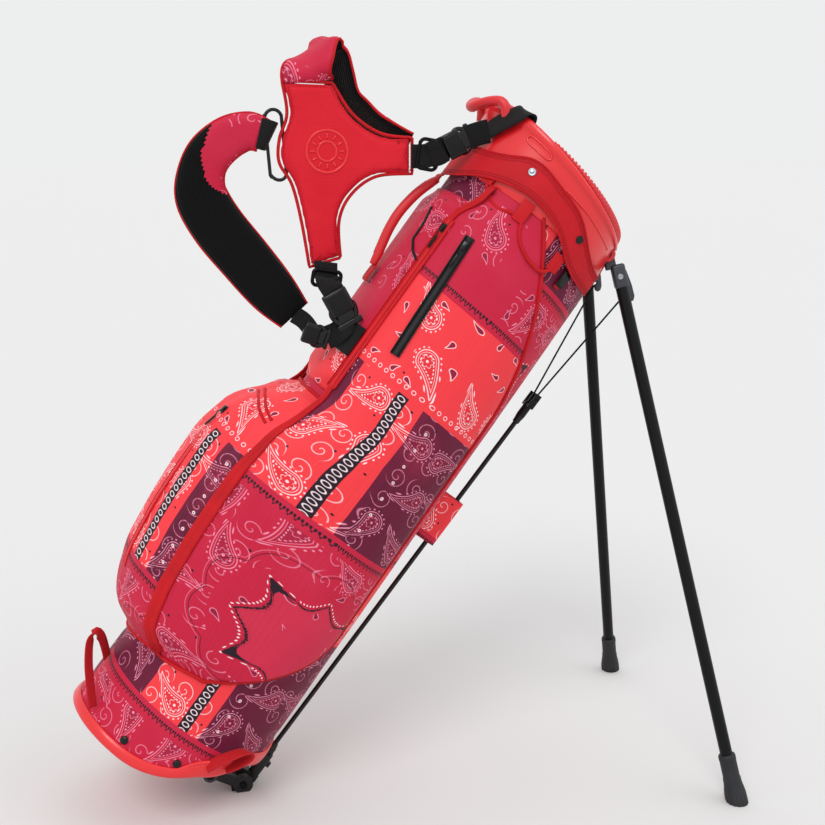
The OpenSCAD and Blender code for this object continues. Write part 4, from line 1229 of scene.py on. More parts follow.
def bead():
    """Ribbed roll on the rim: each rib is a shallow tooth along the arc."""
    span = 118.0
    ribs = 82
    t = np.linspace(-span, span, ribs * 6 + 1)
    p = on_body(t, 780.0, 1.0)
    a = p[:, 0] - 7
    base = rim_at(a) + 0.6
    n = np.stack([np.cos(rad(t)) / half_d(780), np.sin(rad(t)) / half_w(780), 0 * t], -1)
    n /= np.linalg.norm(n, axis=1, keepdims=True)
    h = 2 + 10 * np.maximum(0, np.cos(rad(t * 90 / span))) ** 0.7
    phase = np.cos((t + span) / (2 * span) * ribs * 2 * np.pi)
    groove = np.clip(0.5 - 0.9 * phase, 0, 1) * np.clip(h / 8, 0.1, 1)
    prof = [(2.5, 0), (3.0, 0.3), (2.7, 0.6), (1.6, 0.88), (-0.5, 0.99), (-3, 1), (-5.5, 0.98), (-7.6, 0.88),
            (-8.6, 0.65), (-8.9, 0.3), (-8.5, 0)]
    Q = []
    for q, k in prof:
        shrink = 1.7 * groove * (0.3 + k)
        inward = np.sign(-3 - q) * shrink * 0.6
        Q.append(np.stack([a, p[:, 1], base], -1) + n * (q + inward)[:, None]
                 + np.array([0, 0, 1]) * (h * k - shrink * (k > 0.2))[:, None])
    Q = np.stack(Q, 1)
    k = len(prof)
    obj = add_object("rim_roll", row(Q).reshape(-1, 3), capped(len(t), k), CORAL_SOFT, "bag")
    mark(obj, "ribbed_bead")


def cuff():
    m, n = 14, 200
    t = np.linspace(41, 319, n)
    turn = 180 - np.abs(t - 180)
    low = np.interp(turn, [40, 52, 64, 74, 86, 99, 114, 130, 147, 165, 180],
                    [741, 742, 744, 751, 768, 780, 785, 781, 772, 760, 757])
    high = np.interp(turn, [40, 52, 60, 70, 79, 88, 103, 117, 127, 137, 150, 180],
                     [766, 768, 773, 784, 797, 806, 813, 821, 820, 809, 802, 799])
    soft = np.hanning(15) / np.hanning(15).sum()
    low, high = (np.convolve(np.pad(v, 7, "edge"), soft, "valid") for v in (low, high))
    f = np.linspace(0, 1, m)[:, None]
    c = low[None] + (high - low)[None] * f
    off = 8.6 + 0.5 * np.sin(np.pi * f)
    p = on_body(np.broadcast_to(t, c.shape), 780.0, off)
    P = np.stack([p[..., 0], p[..., 1], c], -1)
    uv = np.stack([np.broadcast_to(t[None] * U_PER_DEG, c.shape), c], -1)
    obj = sheet_obj("cuff_fabric", row(P), uv, RIPSTOP, "bag", thick=1.3)
    mark(obj, "cuff_band")
    for name, edge in (("cuff_edge_low", 0), ("cuff_edge_high", -1)):
        mark(tube(name, row_mm(P[edge]), 1.1, BINDING, "bag", step=4, sides=8))
    # Two rows of stitches along each edge.
    for name, f0 in (("cuff_stitch_a", 3.2), ("cuff_stitch_b", 6.0), ("cuff_stitch_c", -3.2),
                     ("cuff_stitch_d", -6.0)):
        line_c = (low + f0) if f0 > 0 else (high + f0)
        q = on_body(t, 780.0, 9.3)
        stitches(name, row_mm(np.stack([q[:, 0], q[:, 1], line_c], -1)), THREAD, "bag")
    # Snaps.
    for i, (ts, cs) in enumerate(((-121, 807), (-76, 781), (121, 807), (76, 781))):
        p = on_body(ts, 780.0, 9.2).ravel()
        nn = np.array([math.cos(rad(ts)) / half_d(780), math.sin(rad(ts)) / half_w(780), 0])
        o = row_mm([p[0], p[1], cs])
        d = row_mm(nn / np.linalg.norm(nn))
        lathe("snap_%d" % i,
              [(0.01, -0.6), (4.6, -0.6), (4.9, 0.2), (4.6, 0.9), (3.6, 1.3), (3.2, 1.0), (2.4, 1.1),
               (1.2, 1.5), (0.01, 1.6)],
              o, d, STEEL if abs(ts) > 100 else BLACK_GLOSS, "bag", sides=28)
    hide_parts("cuff_snaps")


def stitches(name, path, mat, body, pitch=3.4, stitch=2.3, r=0.32):
    """A row of thread dashes along points in mm."""
    P = resample(path, pitch)
    verts, faces = [], []
    T, U, V = frames(P)
    for p, t, u, v in zip(P[:-1], T[:-1], U[:-1], V[:-1]):
        base = len(verts)
        for along, k in ((0.0, 0.45), (0.3, 1.0), (0.7, 1.0), (1.0, 0.45)):
            for q in range(6):
                an = q * math.pi / 3
                verts.append((p + t * along * stitch + (u * math.cos(an) + v * math.sin(an)) * r * k) * MM)
        for i in range(3):
            for q in range(6):
                q2 = (q + 1) % 6
                faces.append([base + i * 6 + q, base + i * 6 + q2, base + i * 6 + 6 + q2, base + i * 6 + 6 + q])
    return add_object(name, verts, faces, mat, body)


def grab_handle():
    path = [(-243, -46, 842), (-250, -46.5, 852), (-259, -41, 856), (-267, -29, 850), (-272, -13, 842),
            (-273, 0, 838)]
    full = path + [(a, -b, c) for a, b, c in path[-2::-1]]
    obj = tube("top_grab_handle", row_mm(full), 6.3, CORAL_SOFT, "bag", step=4, sides=20,
               flat=0.92)
    mark(obj, "grab_handle")


def dividers():
    mid = mid_a(780.0) - 4
    for name, along in (("divider_bar_across", 1), ("divider_bar_along", 0)):
        s = np.linspace(-1, 1, 40)
        reach_a, reach_b = half_d(780) - 6.5, half_w(780) - 6.5
        a = mid + (s * reach_a if along == 0 else 0 * s)
        b = s * reach_b if along == 1 else 0 * s
        P = np.stack([a, b, rim_at(a) - 12.0], -1)
        side = np.array([0, 1, 0.0]) if along == 0 else np.array([1.0, 0, 0])
        W = row_mm(np.tile(side, (40, 1)))
        N = row_mm(np.tile([0, 0, 1.0], (40, 1)))
        obj = ribbon(name, row_mm(P), W, N,
                     [(-3.6, -8), (-4, -5), (-4, 4), (-3.4, 6.8), (-1.8, 7.9), (0, 8.2), (1.8, 7.9),
                      (3.4, 6.8), (4, 4), (4, -5), (3.6, -8)],
                     CORAL_SOFT, "bag")
        mark(obj)
    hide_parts("divider_top")
    m, n = 40, 40
    for name, along in (("divider_sheet_across", 1), ("divider_sheet_along", 0)):
        f, s = np.meshgrid(np.linspace(0, 1, m), np.linspace(-1, 1, n), indexing="ij")
        c = 95 + (806 - 95) * f
        sag = 1.5 * np.sin(f * 9) * (1 - s ** 2)
        if along == 0:
            P = np.stack([mid_a(c) + s * (half_d(c) - 5), sag, c - 0.18 * s * 100 * f], -1)
        else:
            P = np.stack([mid_a(c) + sag, s * (half_w(c) - 5), c], -1)
        obj = sheet_obj(name, row(P), np.stack([s * 100, c], -1), LINING, "bag", thick=1.0, offset=0)
        mark(obj)
    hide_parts("divider_panels")


# ---------------------------------------------------------------- handles, loops and tabs
def tube_handle():
    path = [(-254.6, 0, 748), (-259, 0, 738), (-264, 0, 722), (-267, 0, 704), (-268, 0, 686), (-266, 0, 666),
            (-262, 0, 648), (-258.5, 0, 634), (-256.8, 0, 622)]
    obj = tube("side_carry_handle", row_mm(path), 5.8, CORAL_SOFT, "bag", step=3, sides=20,
               taper=lambda f: 1.0 - 0.3 * (abs(2 * f - 1) ** 8))
    mark(obj, "tube_handle")
    seam = tube("side_carry_handle_seam", row_mm([(a - 5.6, 0.0, c) for a, _, c in path[1:-1]]), 0.6, BINDING,
                "bag", sides=6)
    mark(seam)
    for i, (a, c0, c1) in enumerate(((-255.6, 744, 755), (-254.4, 602, 624))):
        mid = (c0 + c1) / 2
        P = [(a + 1.6, 0, c0), (a, 0, c0 + 2), (a - 0.4, 0, mid), (a, 0, c1 - 2), (a + 1.6, 0, c1)]
        pad = strap("handle_patch_%d" % i, row_mm(P), 22, 1.8, row_mm([0, 1, 0]), BINDING, "bag", step=2)
        mark(pad)
    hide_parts("handle_patches")


def keeper():
    """Cloth tab that wraps the push rod and is sewn into the back seam."""
    c0, c1 = 389.0, 453.0
    v = np.linspace(0, 1, 24)
    loop = [(-12.8, -7.5), (-8, -8.6), (2, -8.6), (12, -8.2), (16.4, -6), (17.8, 0), (16.4, 6), (12, 8.2),
            (2, 8.6), (-8, 8.6), (-12.8, 7.5)]
    L = resample([(a, b, 0) for a, b in loop], 1.6)
    A, C = np.meshgrid(L[:, 0], c0 + (c1 - c0) * v, indexing="xy")
    B = np.broadcast_to(L[:, 1][None], A.shape)
    pinch = 1 - 0.05 * np.cos(2 * np.pi * v)[:, None]
    P = np.stack([A, B * pinch, C], -1)
    s = arc_length(L)
    uv = np.stack(np.broadcast_arrays(s[None] + 200, (C - 180)), -1)
    obj = sheet_obj("rod_keeper_tab", row(P), uv, PRINT, "bag", thick=1.5, flip=True)
    mark(obj, "rod_keeper")
    for i, c in enumerate((c0 + 1.0, c1 - 1.0)):
        q = np.stack([L[:, 0], L[:, 1] * 1.02, np.full(len(L), c)], -1)
        mark(tube("rod_keeper_edge_%d" % i, row_mm(q), 1.0, BINDING, "bag", step=2, sides=8))


def elastic_loops():
    """Loops of elastic cord that hang under the cuff on both sides."""
    for s, tag in ((-1, "near"), (1, "far")):
        pts = [(s * 141, 775), (s * 138, 764), (s * 131, 755), (s * 124.5, 753), (s * 117, 758),
               (s * 110, 756), (s * 107, 744), (s * 101, 733),
               (s * 92, 726), (s * 84, 726), (s * 80, 733), (s * 79, 742)]
        P = np.array([on_body(t, c, 5.2).ravel() for t, c in pts])
        obj = tube("elastic_cord_" + tag, row_mm(P), 2.4, BINDING, "bag", step=2.5, sides=10)
        mark(obj)
        if s < 0:
            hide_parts("towel_cord")
        for i, (t, c, tall) in enumerate(((s * 141, 776, 14), (s * 112, 766, 26), (s * 79, 744, 22))):
            p = on_body(t, c, 6.2).ravel()
            n = normal_of(on_body, float(t), float(c)).ravel()
            w = np.cross([0, 0, 1.0], n)
            tab = box_at("cord_tab_%s_%d" % (tag, i), (15, tall, 1.6), row_mm(p),
                         (row_mm(w), row_mm([0, 0, 1]), row_mm(n)), 0.6, BINDING, "bag")
            mark(tab)


def label_loop():
    t, c = -66.0, 737.0
    p = on_body(t, c, 3.2).ravel()
    n = normal_of(on_body, t, c).ravel()
    w = np.cross([0, 0, 1.0], n)
    axes = (row_mm(w), row_mm([0, 0, 1]), row_mm(n))
    parts = [box_at("lab_a", (12, 22, 1.6), row_mm(p), axes, 0.7, BLACK_PLASTIC),
             box_at("lab_b", (8, 17, 1.0), row_mm(p + n * 0.9), axes, 0.4, BLACK_GLOSS)]
    obj = joined("side_label", parts, "bag")
    mark(obj, "loop_label")
    band = [on_body(t + 4, c + 24, 1.6).ravel(), on_body(t + 2, c + 12, 2.0).ravel(),
            on_body(t, c, 2.0).ravel(), on_body(t - 1, c - 14, 1.6).ravel()]
    mark(strap("side_label_band", row_mm(band), 9, 0.9, row_mm(w), WEB_RED, "bag"))


def pull_loops():
    front = [(-224, -54, 16), (-238, -49, 32), (-256, -41, 54), (-268, -33, 74), (-267, -27, 84),
             (-258, -22, 82), (-246, -18, 72), (-236, -15, 62)]
    a = strap("front_pull_loop", row_mm(front), 14, 1.9, [0.55, 0.75, 0.2], WEB_RED, "bag", step=2.5)
    side = [on_body(t, c, off).ravel()
            for t, c, off in ((-73, 38, 3), (-71, 50, 7), (-67.5, 64, 11), (-63, 75, 13), (-58.5, 78, 13),
                              (-56, 71, 12), (-57.5, 58, 9), (-61, 44, 4))]
    n = normal_of(on_body, -64.0, 60.0).ravel()
    b = strap("side_pull_loop", row_mm(side), 15, 1.9, row_mm(n + np.array([0.3, 0.1, 0.35])), WEB_RED, "bag",
              step=2.5)
    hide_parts("pull_loops")
    for o in (a, b):
        mark(o)


body_print()
boot()
pockets()
seams()
zips()
collar()
bead()
cuff()
grab_handle()
dividers()
tube_handle()
keeper()
elastic_loops()
label_loop()
pull_loops()


# ---------------------------------------------------------------- legs and stand
def leg_parts(s, tag):
    body = "leg_" + tag
    o, x, h, u = leg_frame(s)
    foot_at = o + x * 9 - u * 650

    def flute(ang, z):
        depth = np.clip((z + 58) / 6, 0, 1) * np.clip((-20 - z) / 10, 0, 1)
        return 1 - 0.075 * depth * (0.5 + 0.5 * np.cos(ang * 14)) ** 0.6

    prof = [(0.5, -58), (11, -58), (12.6, -57), (13.2, -54), (13.3, -46), (13.4, -36), (13.3, -27),
            (12.6, -21), (11.6, -16), (11.0, -12), (10.9, -7), (10.2, -5), (10.2, 16), (10.5, 17),
            (10.5, 21), (9.8, 23.2), (8.0, 23.9), (6.3, 23.9)]
    foot = lathe("foot_" + tag, prof, foot_at, u, FEET_RUBBER, None, sides=84, flute=flute)
    for v in foot.data.vertices:
        if v.co.z < 0.0003:
            v.co = v.co + Vector(u) * ((0.0003 - v.co.z) / u[2])
    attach(foot, body)
    mark(foot, "leg_foot_" + tag)
    # A turned collar where the tube enters the bracket, and a rivet face on each side of the socket.
    mark(lathe("tube_ring_" + tag, [(6.02, -3), (6.9, -2.6), (7.1, 0), (6.9, 2.6), (6.02, 3)],
               o + x * 9 - u * 47.5, u,
                  BLACK_GLOSS, body, 32))
    for k in (-1, 1):
        rv = lathe("rivet_face_%s_%d" % (tag, k + 1),
                   [(0.01, 0.3), (1.2, 0.3), (1.5, 0.8), (2.3, 0.9), (2.9, 0.6), (3.0, 0.1), (3.0, -0.8)],
                   o + x * 9 - u * 30 + h * (k * 9.6), h * k, STEEL, body, 24)
        mark(rv)


HOOK_OUTLINE = [(12, -15), (15.5, -15), (20, -24), (22.6, -42), (22.9, -56), (20.5, -61), (16, -62),
                (13.4, -59), (13.2, -52), (16.5, -51.4), (16.5, -48.6), (13.2, -48), (12, -42)]


def leg_bracket(s, tag):
    """Cast bracket: hinge barrel, neck, socket for the tube and the tapered arm that hooks the wire."""
    o, x, h, u = leg_frame(s)
    parts = [lathe("bk_barrel", [(3.2, -5), (7.3, -5), (8, -4.3), (8, 4.3), (7.3, 5), (3.2, 5)], o, h,
                   GUNMETAL, None, 40),
             box_at("bk_neck", (13, 9.6, 14), o + x * 1.5 - u * 12, (x, h, u), 1.4, GUNMETAL),
             box_at("bk_socket", (16.5, 17, 29), o + x * 9.25 - u * 29, (x, h, u), 3.2, GUNMETAL),
             plate("bk_arm", HOOK_OUTLINE, 3.8, o - h * (s * 9.6), (x, h, u), 0.6, GUNMETAL)]
    obj = joined("bracket_casting_" + tag, parts, "leg_" + tag)
    mark(obj, "leg_bracket_" + tag)
    # The last, straight stretch of the wire, up to the hook.
    eye = o - u * 50 + x * 14.5 - h * (s * 9.6)
    d = eye - row_mm([10, s * 4.8, 612])
    d /= np.linalg.norm(d)
    tail = tube("wire_tail_" + tag, [eye - d * 15, eye - d * 8, eye - d * 2.5], 1.0, DARK_STEEL,
                "wire_" + tag, sides=10, step=2)
    mark(tail)


def stand():
    for s, tag in ((-1, "near"), (1, "far")):
        leg_parts(s, tag)
        leg_bracket(s, tag)
    # A ferrule on the rod at its yoke, and a boot where the rod meets its sleeve.
    d = row_mm([0, 0, 1])
    mark(lathe("rod_gaiter",
               [(3.1, -2), (5.6, -1.6), (6.2, 2), (5.4, 5), (5.9, 8), (5.0, 11), (4.2, 15), (3.1, 17)],
               row_mm([10, 0, 54]), d,
                  SLEEVE_RUBBER, "actuator", 28))
    mark(lathe("yoke_ferrule", [(3.1, -10), (4.4, -9), (4.8, -3), (5.3, -1), (5.3, 1.5), (3.1, 2)],
               row_mm([10, 0, 584]), d,
                  BLACK_GLOSS, "actuator", 28))


def boss_faces():
    """Smooth caps on the two outer hinge ears, each with its screw head."""
    for s, tag in ((-1, "near"), (1, "far")):
        o, _, h, _ = leg_frame(s)
        out = h * (1 if s > 0 else -1)
        at = o + out * 10.4
        face = lathe("ear_cap_" + tag,
                     [(3.4, 0.6), (5.2, 1.1), (7.8, 1.2), (9.0, 0.8), (9.45, 0.0), (9.5, -0.9)], at, out,
                     CORAL_SOFT, "bag", 40)
        screw = lathe("ear_screw_" + tag,
                      [(0.01, 1.5), (1.2, 1.5), (1.3, 2.3), (2.6, 2.3), (3.6, 1.9), (3.9, 1.0), (3.9, -0.4)],
                      at, out, BLACK_GLOSS, "bag", 28)
        mark(face)
        mark(screw)


# ---------------------------------------------------------------- harness
PAD = [(75, 856), (80, 820), (71, 793), (70, 767), (84, 742), (94, 700), (102, 649), (139, 659),
       (138, 701), (152, 730), (181, 750), (224, 753), (224, 794), (187, 799), (155, 820), (132, 854)]
PAD_CORNERS = (0, 6, 7, 11, 12, 15)


def pad_outline(step=4.0, inset=0.0):
    """The pad's outline: curves between its six square corners."""
    n = len(PAD)
    out = []
    for k, i in enumerate(PAD_CORNERS):
        j = PAD_CORNERS[(k + 1) % len(PAD_CORNERS)]
        run = [PAD[q % n] for q in range(i, (j if j > i else j + n) + 1)]
        seg = resample([(x, z, 0) for x, z in run], step)[:, :2] if len(run) > 2 else np.array([
            np.array(run[0]) + (np.array(run[1]) - np.array(run[0])) * f for f in np.linspace(0, 1, max(2, int(
                math.dist(run[0], run[1]) / step)) + 1)], float)
        out.append(seg[:-1])
    P = np.vstack(out)
    if inset:
        d = np.roll(P, -1, 0) - np.roll(P, 1, 0)
        nrm = np.stack([d[:, 1], -d[:, 0]], -1)
        nrm /= np.linalg.norm(nrm, axis=1, keepdims=True)
        area = np.sum(P[:, 0] * np.roll(P[:, 1], -1) - np.roll(P[:, 0], -1) * P[:, 1])
        P = P - nrm * inset * (1 if area > 0 else -1)
    return P


def edge_distance(x, z, loop):
    a, b = loop, np.roll(loop, -1, 0)
    ab = b - a
    t = np.clip(((x - a[:, 0]) * ab[:, 0] + (z - a[:, 1]) * ab[:, 1])
                / np.maximum(1e-9, (ab ** 2).sum(1)), 0, 1)
    return np.sqrt(((x - a[:, 0] - t * ab[:, 0]) ** 2 + (z - a[:, 1] - t * ab[:, 1]) ** 2).min())


def harness_pad():
    loop = pad_outline(4.0, inset=0.8)
    bm = bmesh.new()
    half = 2.6
    front = [bm.verts.new(Vector((x, -20 - half, z)) * MM) for x, z in loop]
    back = [bm.verts.new(Vector((x, -20 + half, z)) * MM) for x, z in loop]
    bm.faces.new(front)
    bm.faces.new(back[::-1])
    n = len(loop)
    for i in range(n):
        bm.faces.new([front[(i + 1) % n], front[i], back[i], back[(i + 1) % n]])
    bmesh.ops.recalc_face_normals(bm, faces=bm.faces)
    obj = linked("harness_yoke", from_bmesh("harness_yoke", bm))
    rem = obj.modifiers.new("voxels", "REMESH")
    rem.mode, rem.voxel_size = "VOXEL", 2.6 * MM
    bake(obj)
    puff(obj, cap=3.0 * MM, pressure=4.0)
    outline = pad_outline(3.0)
    for v in obj.data.vertices:
        x, y, z = v.co / MM
        d = edge_distance(x, z, outline)
        y0 = y + 20
        # Quilted flat near the bound edge, with a stitch groove just inside it.
        y0 *= min(1.0, 0.5 + d / 9)
        y0 += math.copysign(0.55, -y0) * math.exp(-((d - 5.0) / 1.0) ** 2) * (1 if abs(y0) > 1.5 else 0)
        v.co.y = (y0 - 20) * MM
    sub = obj.modifiers.new("fine", "SUBSURF")
    sub.levels = sub.render_levels = 1
    bake(obj)
    for p in obj.data.polygons:
        p.use_smooth = True
    obj.data.materials.clear()
    obj.data.materials.append(PAD_FABRIC)
    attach(obj, "harness")
    mark(obj, "harness_pad")
    rim = pad_outline(4.0, inset=0.4)
    edge = tube("yoke_binding", [(x, -20, z) for x, z in rim], 1.9, BINDING, "harness", sides=10, closed=True,
                step=4.0)
    mark(edge)
    # Stitched boxes at the two arm ends and a row of stitches round the pad.
    inner = pad_outline(3.0, inset=5.2)
    loop3 = [(x, -24.4, z) for x, z in inner]
    stitches("yoke_stitches", loop3 + loop3[:1], THREAD, "harness")
    for tag, corners in (("a", [(206, 757), (221, 757), (221, 791), (206, 791)]),
                         ("b", [(105, 654), (136, 662), (134, 679), (104, 673)])):
        c = [(x, -24.2, z) for x, z in corners]
        runs = [c + c[:1], [c[0], c[2]], [c[1], c[3]]]
        for k, r in enumerate(runs):
            P = []
            for p, q in zip(r[:-1], r[1:]):
                P += [tuple(np.array(p) + (np.array(q) - np.array(p)) * f)
                      for f in np.linspace(0, 1, 8, endpoint=False)]
            P.append(r[-1])
            stitches("yoke_box_%s%d" % (tag, k), P, THREAD, "harness", pitch=2.6, stitch=1.9)


def puff(obj, cap, pressure, frames_to=20):
    """Inflates a closed mesh as cloth, then keeps each point within cap of where it began."""
    scene = bpy.context.scene
    before = np.array([v.co[:] for v in obj.data.vertices])
    mod = obj.modifiers.new("cloth", "CLOTH")
    mod.settings.use_pressure = True
    mod.settings.uniform_pressure_force = pressure
    mod.settings.quality = 5
    mod.settings.mass = 0.3
    mod.settings.effector_weights.gravity = 0
    mod.collision_settings.use_self_collision = False
    mod.point_cache.frame_start, mod.point_cache.frame_end = 1, frames_to
    for f in range(1, frames_to + 1):
        scene.frame_set(f)
    deps = bpy.context.evaluated_depsgraph_get()
    ev = obj.evaluated_get(deps)
    after = np.array([v.co[:] for v in ev.data.vertices])
    obj.modifiers.clear()
    scene.frame_set(1)
    if len(after) == len(before):
        move = after - before
        size = np.linalg.norm(move, axis=1, keepdims=True)
        move *= np.minimum(1, cap / np.maximum(size, 1e-9))
        for v, p in zip(obj.data.vertices, before + move):
            v.co = p


def badge():
    """Plain moulded medallion: two raised rings with short spokes between them."""
    at, d = np.array([124, -25.4, 779.0]), (0, -1, 0)
    parts = [lathe("badge_rim",
                   [(21.6, -0.6), (22.0, 0.6), (22.8, 1.1), (24.0, 1.1), (24.6, 0.6), (24.9, -0.6)], at, d,
                   CORAL_GLOSS, None, 72),
             lathe("badge_inner",
                   [(9.4, -0.6), (9.7, 0.6), (10.3, 1.0), (11.3, 1.0), (11.9, 0.6), (12.2, -0.6)], at, d,
                   CORAL_GLOSS, None, 56)]
    for k in range(12):
        an = 2 * math.pi * k / 12
        ray = np.array([math.cos(an), 0, math.sin(an)])
        parts.append(tube("badge_%d" % k, [at + ray * q + np.array([0, -0.2, 0]) for q in (13.8, 16.5, 19.6)],
                          1.1, CORAL_GLOSS, None, sides=10, step=1.5))
    obj = joined("yoke_badge", parts, "harness")
    mark(obj, "pad_badge")


STRAP_UPPER = [((104, -20, 854), (28, 0, 0), 6), ((104, -19, 866), (27, -5, 1), 6),
               ((112, -13, 879), (18, -20, -2), 5), ((121, -5, 890), (8, -25, -2), 5),
               ((131, 3, 898), (1, -26, -3), 6), ((141, 8, 891), (8, -25, -2), 6),
               ((145, 9, 866), (12, -24, 0), 6), ((150, 10, 843), (13, -23, 2), 7),
               ((165, 12, 828), (12, -22, 3), 7), ((187, 12, 810), (9, -22, 4), 7),
               ((226, 0, 788), (4, -14, 8), 5)]
STRAP_LOWER = [((53, -22, 796), (8, 0, 16), 6), ((38, -15, 801), (2, 0, 20), 8),
               ((16, -9, 794), (-8, 0, 21), 8), ((-5, -5, 776), (-18, 0, 16), 9),
               ((-15, -3, 754), (-25, 0, 5), 9), ((-15, -2, 728), (-28, 0, -6), 9),
               ((2, -4, 696), (-26, 0, -14), 9), ((30, -8, 660), (-23, 0, -18), 9),
               ((60, -14, 622), (-21, 0, -17), 8), ((84, -18, 594), (-16, 0, -12), 6)]


def shoulder_strap(name, stations, node, uv_at, lap=None):
    """Padded strap: print on one side, ribbed lining on the other, bound edges. With lap, the print also covers
    the lined side as far as a slanting seam at lap[0] to lap[1] along the strap."""
    S = np.array([list(c) + list(w) + [h] for c, w, h in stations], float)
    R = resample(S, 4.0)
    P, W, H = R[:, :3], R[:, 3:6], R[:, 6]
    T = tangents(P)
    half = np.linalg.norm(W, axis=1)
    W = W - T * np.sum(W * T, 1, keepdims=True)
    W /= np.linalg.norm(W, axis=1, keepdims=True)
    N = np.cross(T, W)
    q = np.linspace(-1, 1, 19)
    crown = (1 - np.abs(q) ** 3.2) ** 0.55
    top = np.stack([q, 0.14 + 0.82 * crown], -1)
    low = np.stack([q[::-1], -(0.14 + 0.82 * crown[::-1])], -1)
    prof = np.vstack([top, low])
    k = len(prof)
    s = arc_length(P)
    f = s / s[-1]
    ends = np.minimum(1, np.minimum(f, 1 - f) / 0.035) ** 0.5
    thick = H * (0.35 + 0.65 * ends)
    ripple = 1 + 0.05 * np.sin(s / 9.0) * np.sin(s / 23.0)
    Q = P[:, None] + W[:, None] * (prof[None, :, :1] * half[:, None, None]) + N[:, None] * (
        prof[None, :, 1:] * (thick * ripple)[:, None, None])
    centre = (q[None] * half[:, None])
    ux = np.concatenate([centre, centre[:, ::-1]], 1)
    uv = np.stack([ux + uv_at[0], np.broadcast_to(s[:, None] + uv_at[1], ux.shape)], -1).reshape(-1, 2)
    faces = [list(x) for x in grid_faces(len(P), k, True)]
    fm = []
    for i in range(len(faces)):
        j = i % k
        over = lap and s[i // k] < lap[0] + (lap[1] - lap[0]) * (prof[j][0] + 1) / 2
        fm.append(2 if j in (18, k - 1) else 0 if over or (j > 18) == (lap is None) else 1)
    faces += [list(range(k))[::-1], [(len(P) - 1) * k + i for i in range(k)]]
    fm += [2, 2]
    obj = add_object(name, Q.reshape(-1, 3) * MM, faces, [PRINT, CORD_BLACK, BINDING], "harness", uv, fm)
    mark(obj, node)
    for sgn, tag in ((-1, "a"), (1, "b")):
        e = tube(name + "_edge_" + tag, P + W * (half * sgn)[:, None], 1.5, BINDING, "harness", sides=10,
                 step=5)
        mark(e)
    return obj


def loop_piece(name, at, ang, w, h, r, mat, body):
    """Tri-glide: a rounded frame with a bar across its middle, in the plane turned by ang."""
    c, s = math.cos(math.radians(ang)), math.sin(math.radians(ang))
    ex, ez = np.array([c, 0, s]), np.array([-s, 0, c])
    hw, hh, rr = w / 2 - r, h / 2 - r, min(w, h) * 0.22
    pts = []
    for cx, cz, a0 in ((hw - rr, hh - rr, 0), (-hw + rr, hh - rr, 90), (-hw + rr, -hh + rr, 180),
                       (hw - rr, -hh + rr, 270)):
        for a in np.linspace(a0, a0 + 90, 6):
            pts.append(np.array(at) + ex * (cx + rr * math.cos(math.radians(a)))
                       + ez * (cz + rr * math.sin(math.radians(a))))
    parts = [tube(name + "_f", pts, r, mat, None, closed=True, sides=12, step=1.6, first=(0, 1, 0), flat=1.15)]
    bar = [-ez * hh, np.array([0, -0.8, 0]), ez * hh]
    parts.append(tube(name + "_m", [np.array(at) + q for q in bar], r * 0.95, mat, None, sides=10, step=3))
    return joined(name, parts, body)


def side_release(name, at, ang, l, w, t, body):
    """Side-release buckle: a hollow-sided housing and two prongs that show at the sides."""
    c, s = math.cos(math.radians(ang)), math.sin(math.radians(ang))
    ex, ez, ey = np.array([c, 0, s]), np.array([-s, 0, c]), np.array([0, -1, 0])
    axes = (ex, ez, ey)
    o = np.array(at, float)
    parts = [box_at(name + "_a", (l * 0.62, w * 0.96, t * 0.78), o - ex * l * 0.18, axes, 2.6, BLACK_GLOSS),
             box_at(name + "_b", (l * 0.30, w * 0.66, t * 0.6), o + ex * l * 0.2, axes, 1.8, BLACK_GLOSS),
             box_at(name + "_c", (l * 0.16, w, t * 0.62), o + ex * l * 0.42, axes, 1.8, BLACK_GLOSS),
             box_at(name + "_d", (l * 0.5, w * 0.7, 1.0), o - ex * l * 0.18 + ey * t * 0.38, axes, 0.45,
                    BLACK_PLASTIC)]
    for k in (-1, 1):
        prong = [o + ex * l * along + ez * w * across * k
                 for along, across in ((0.36, 0.3), (0.2, 0.42), (0.04, 0.46), (-0.06, 0.4))]
        parts.append(tube(name + "_p%d" % k, prong, t * 0.26, BLACK_GLOSS, None, sides=10, step=2))
    return joined(name, parts, body)


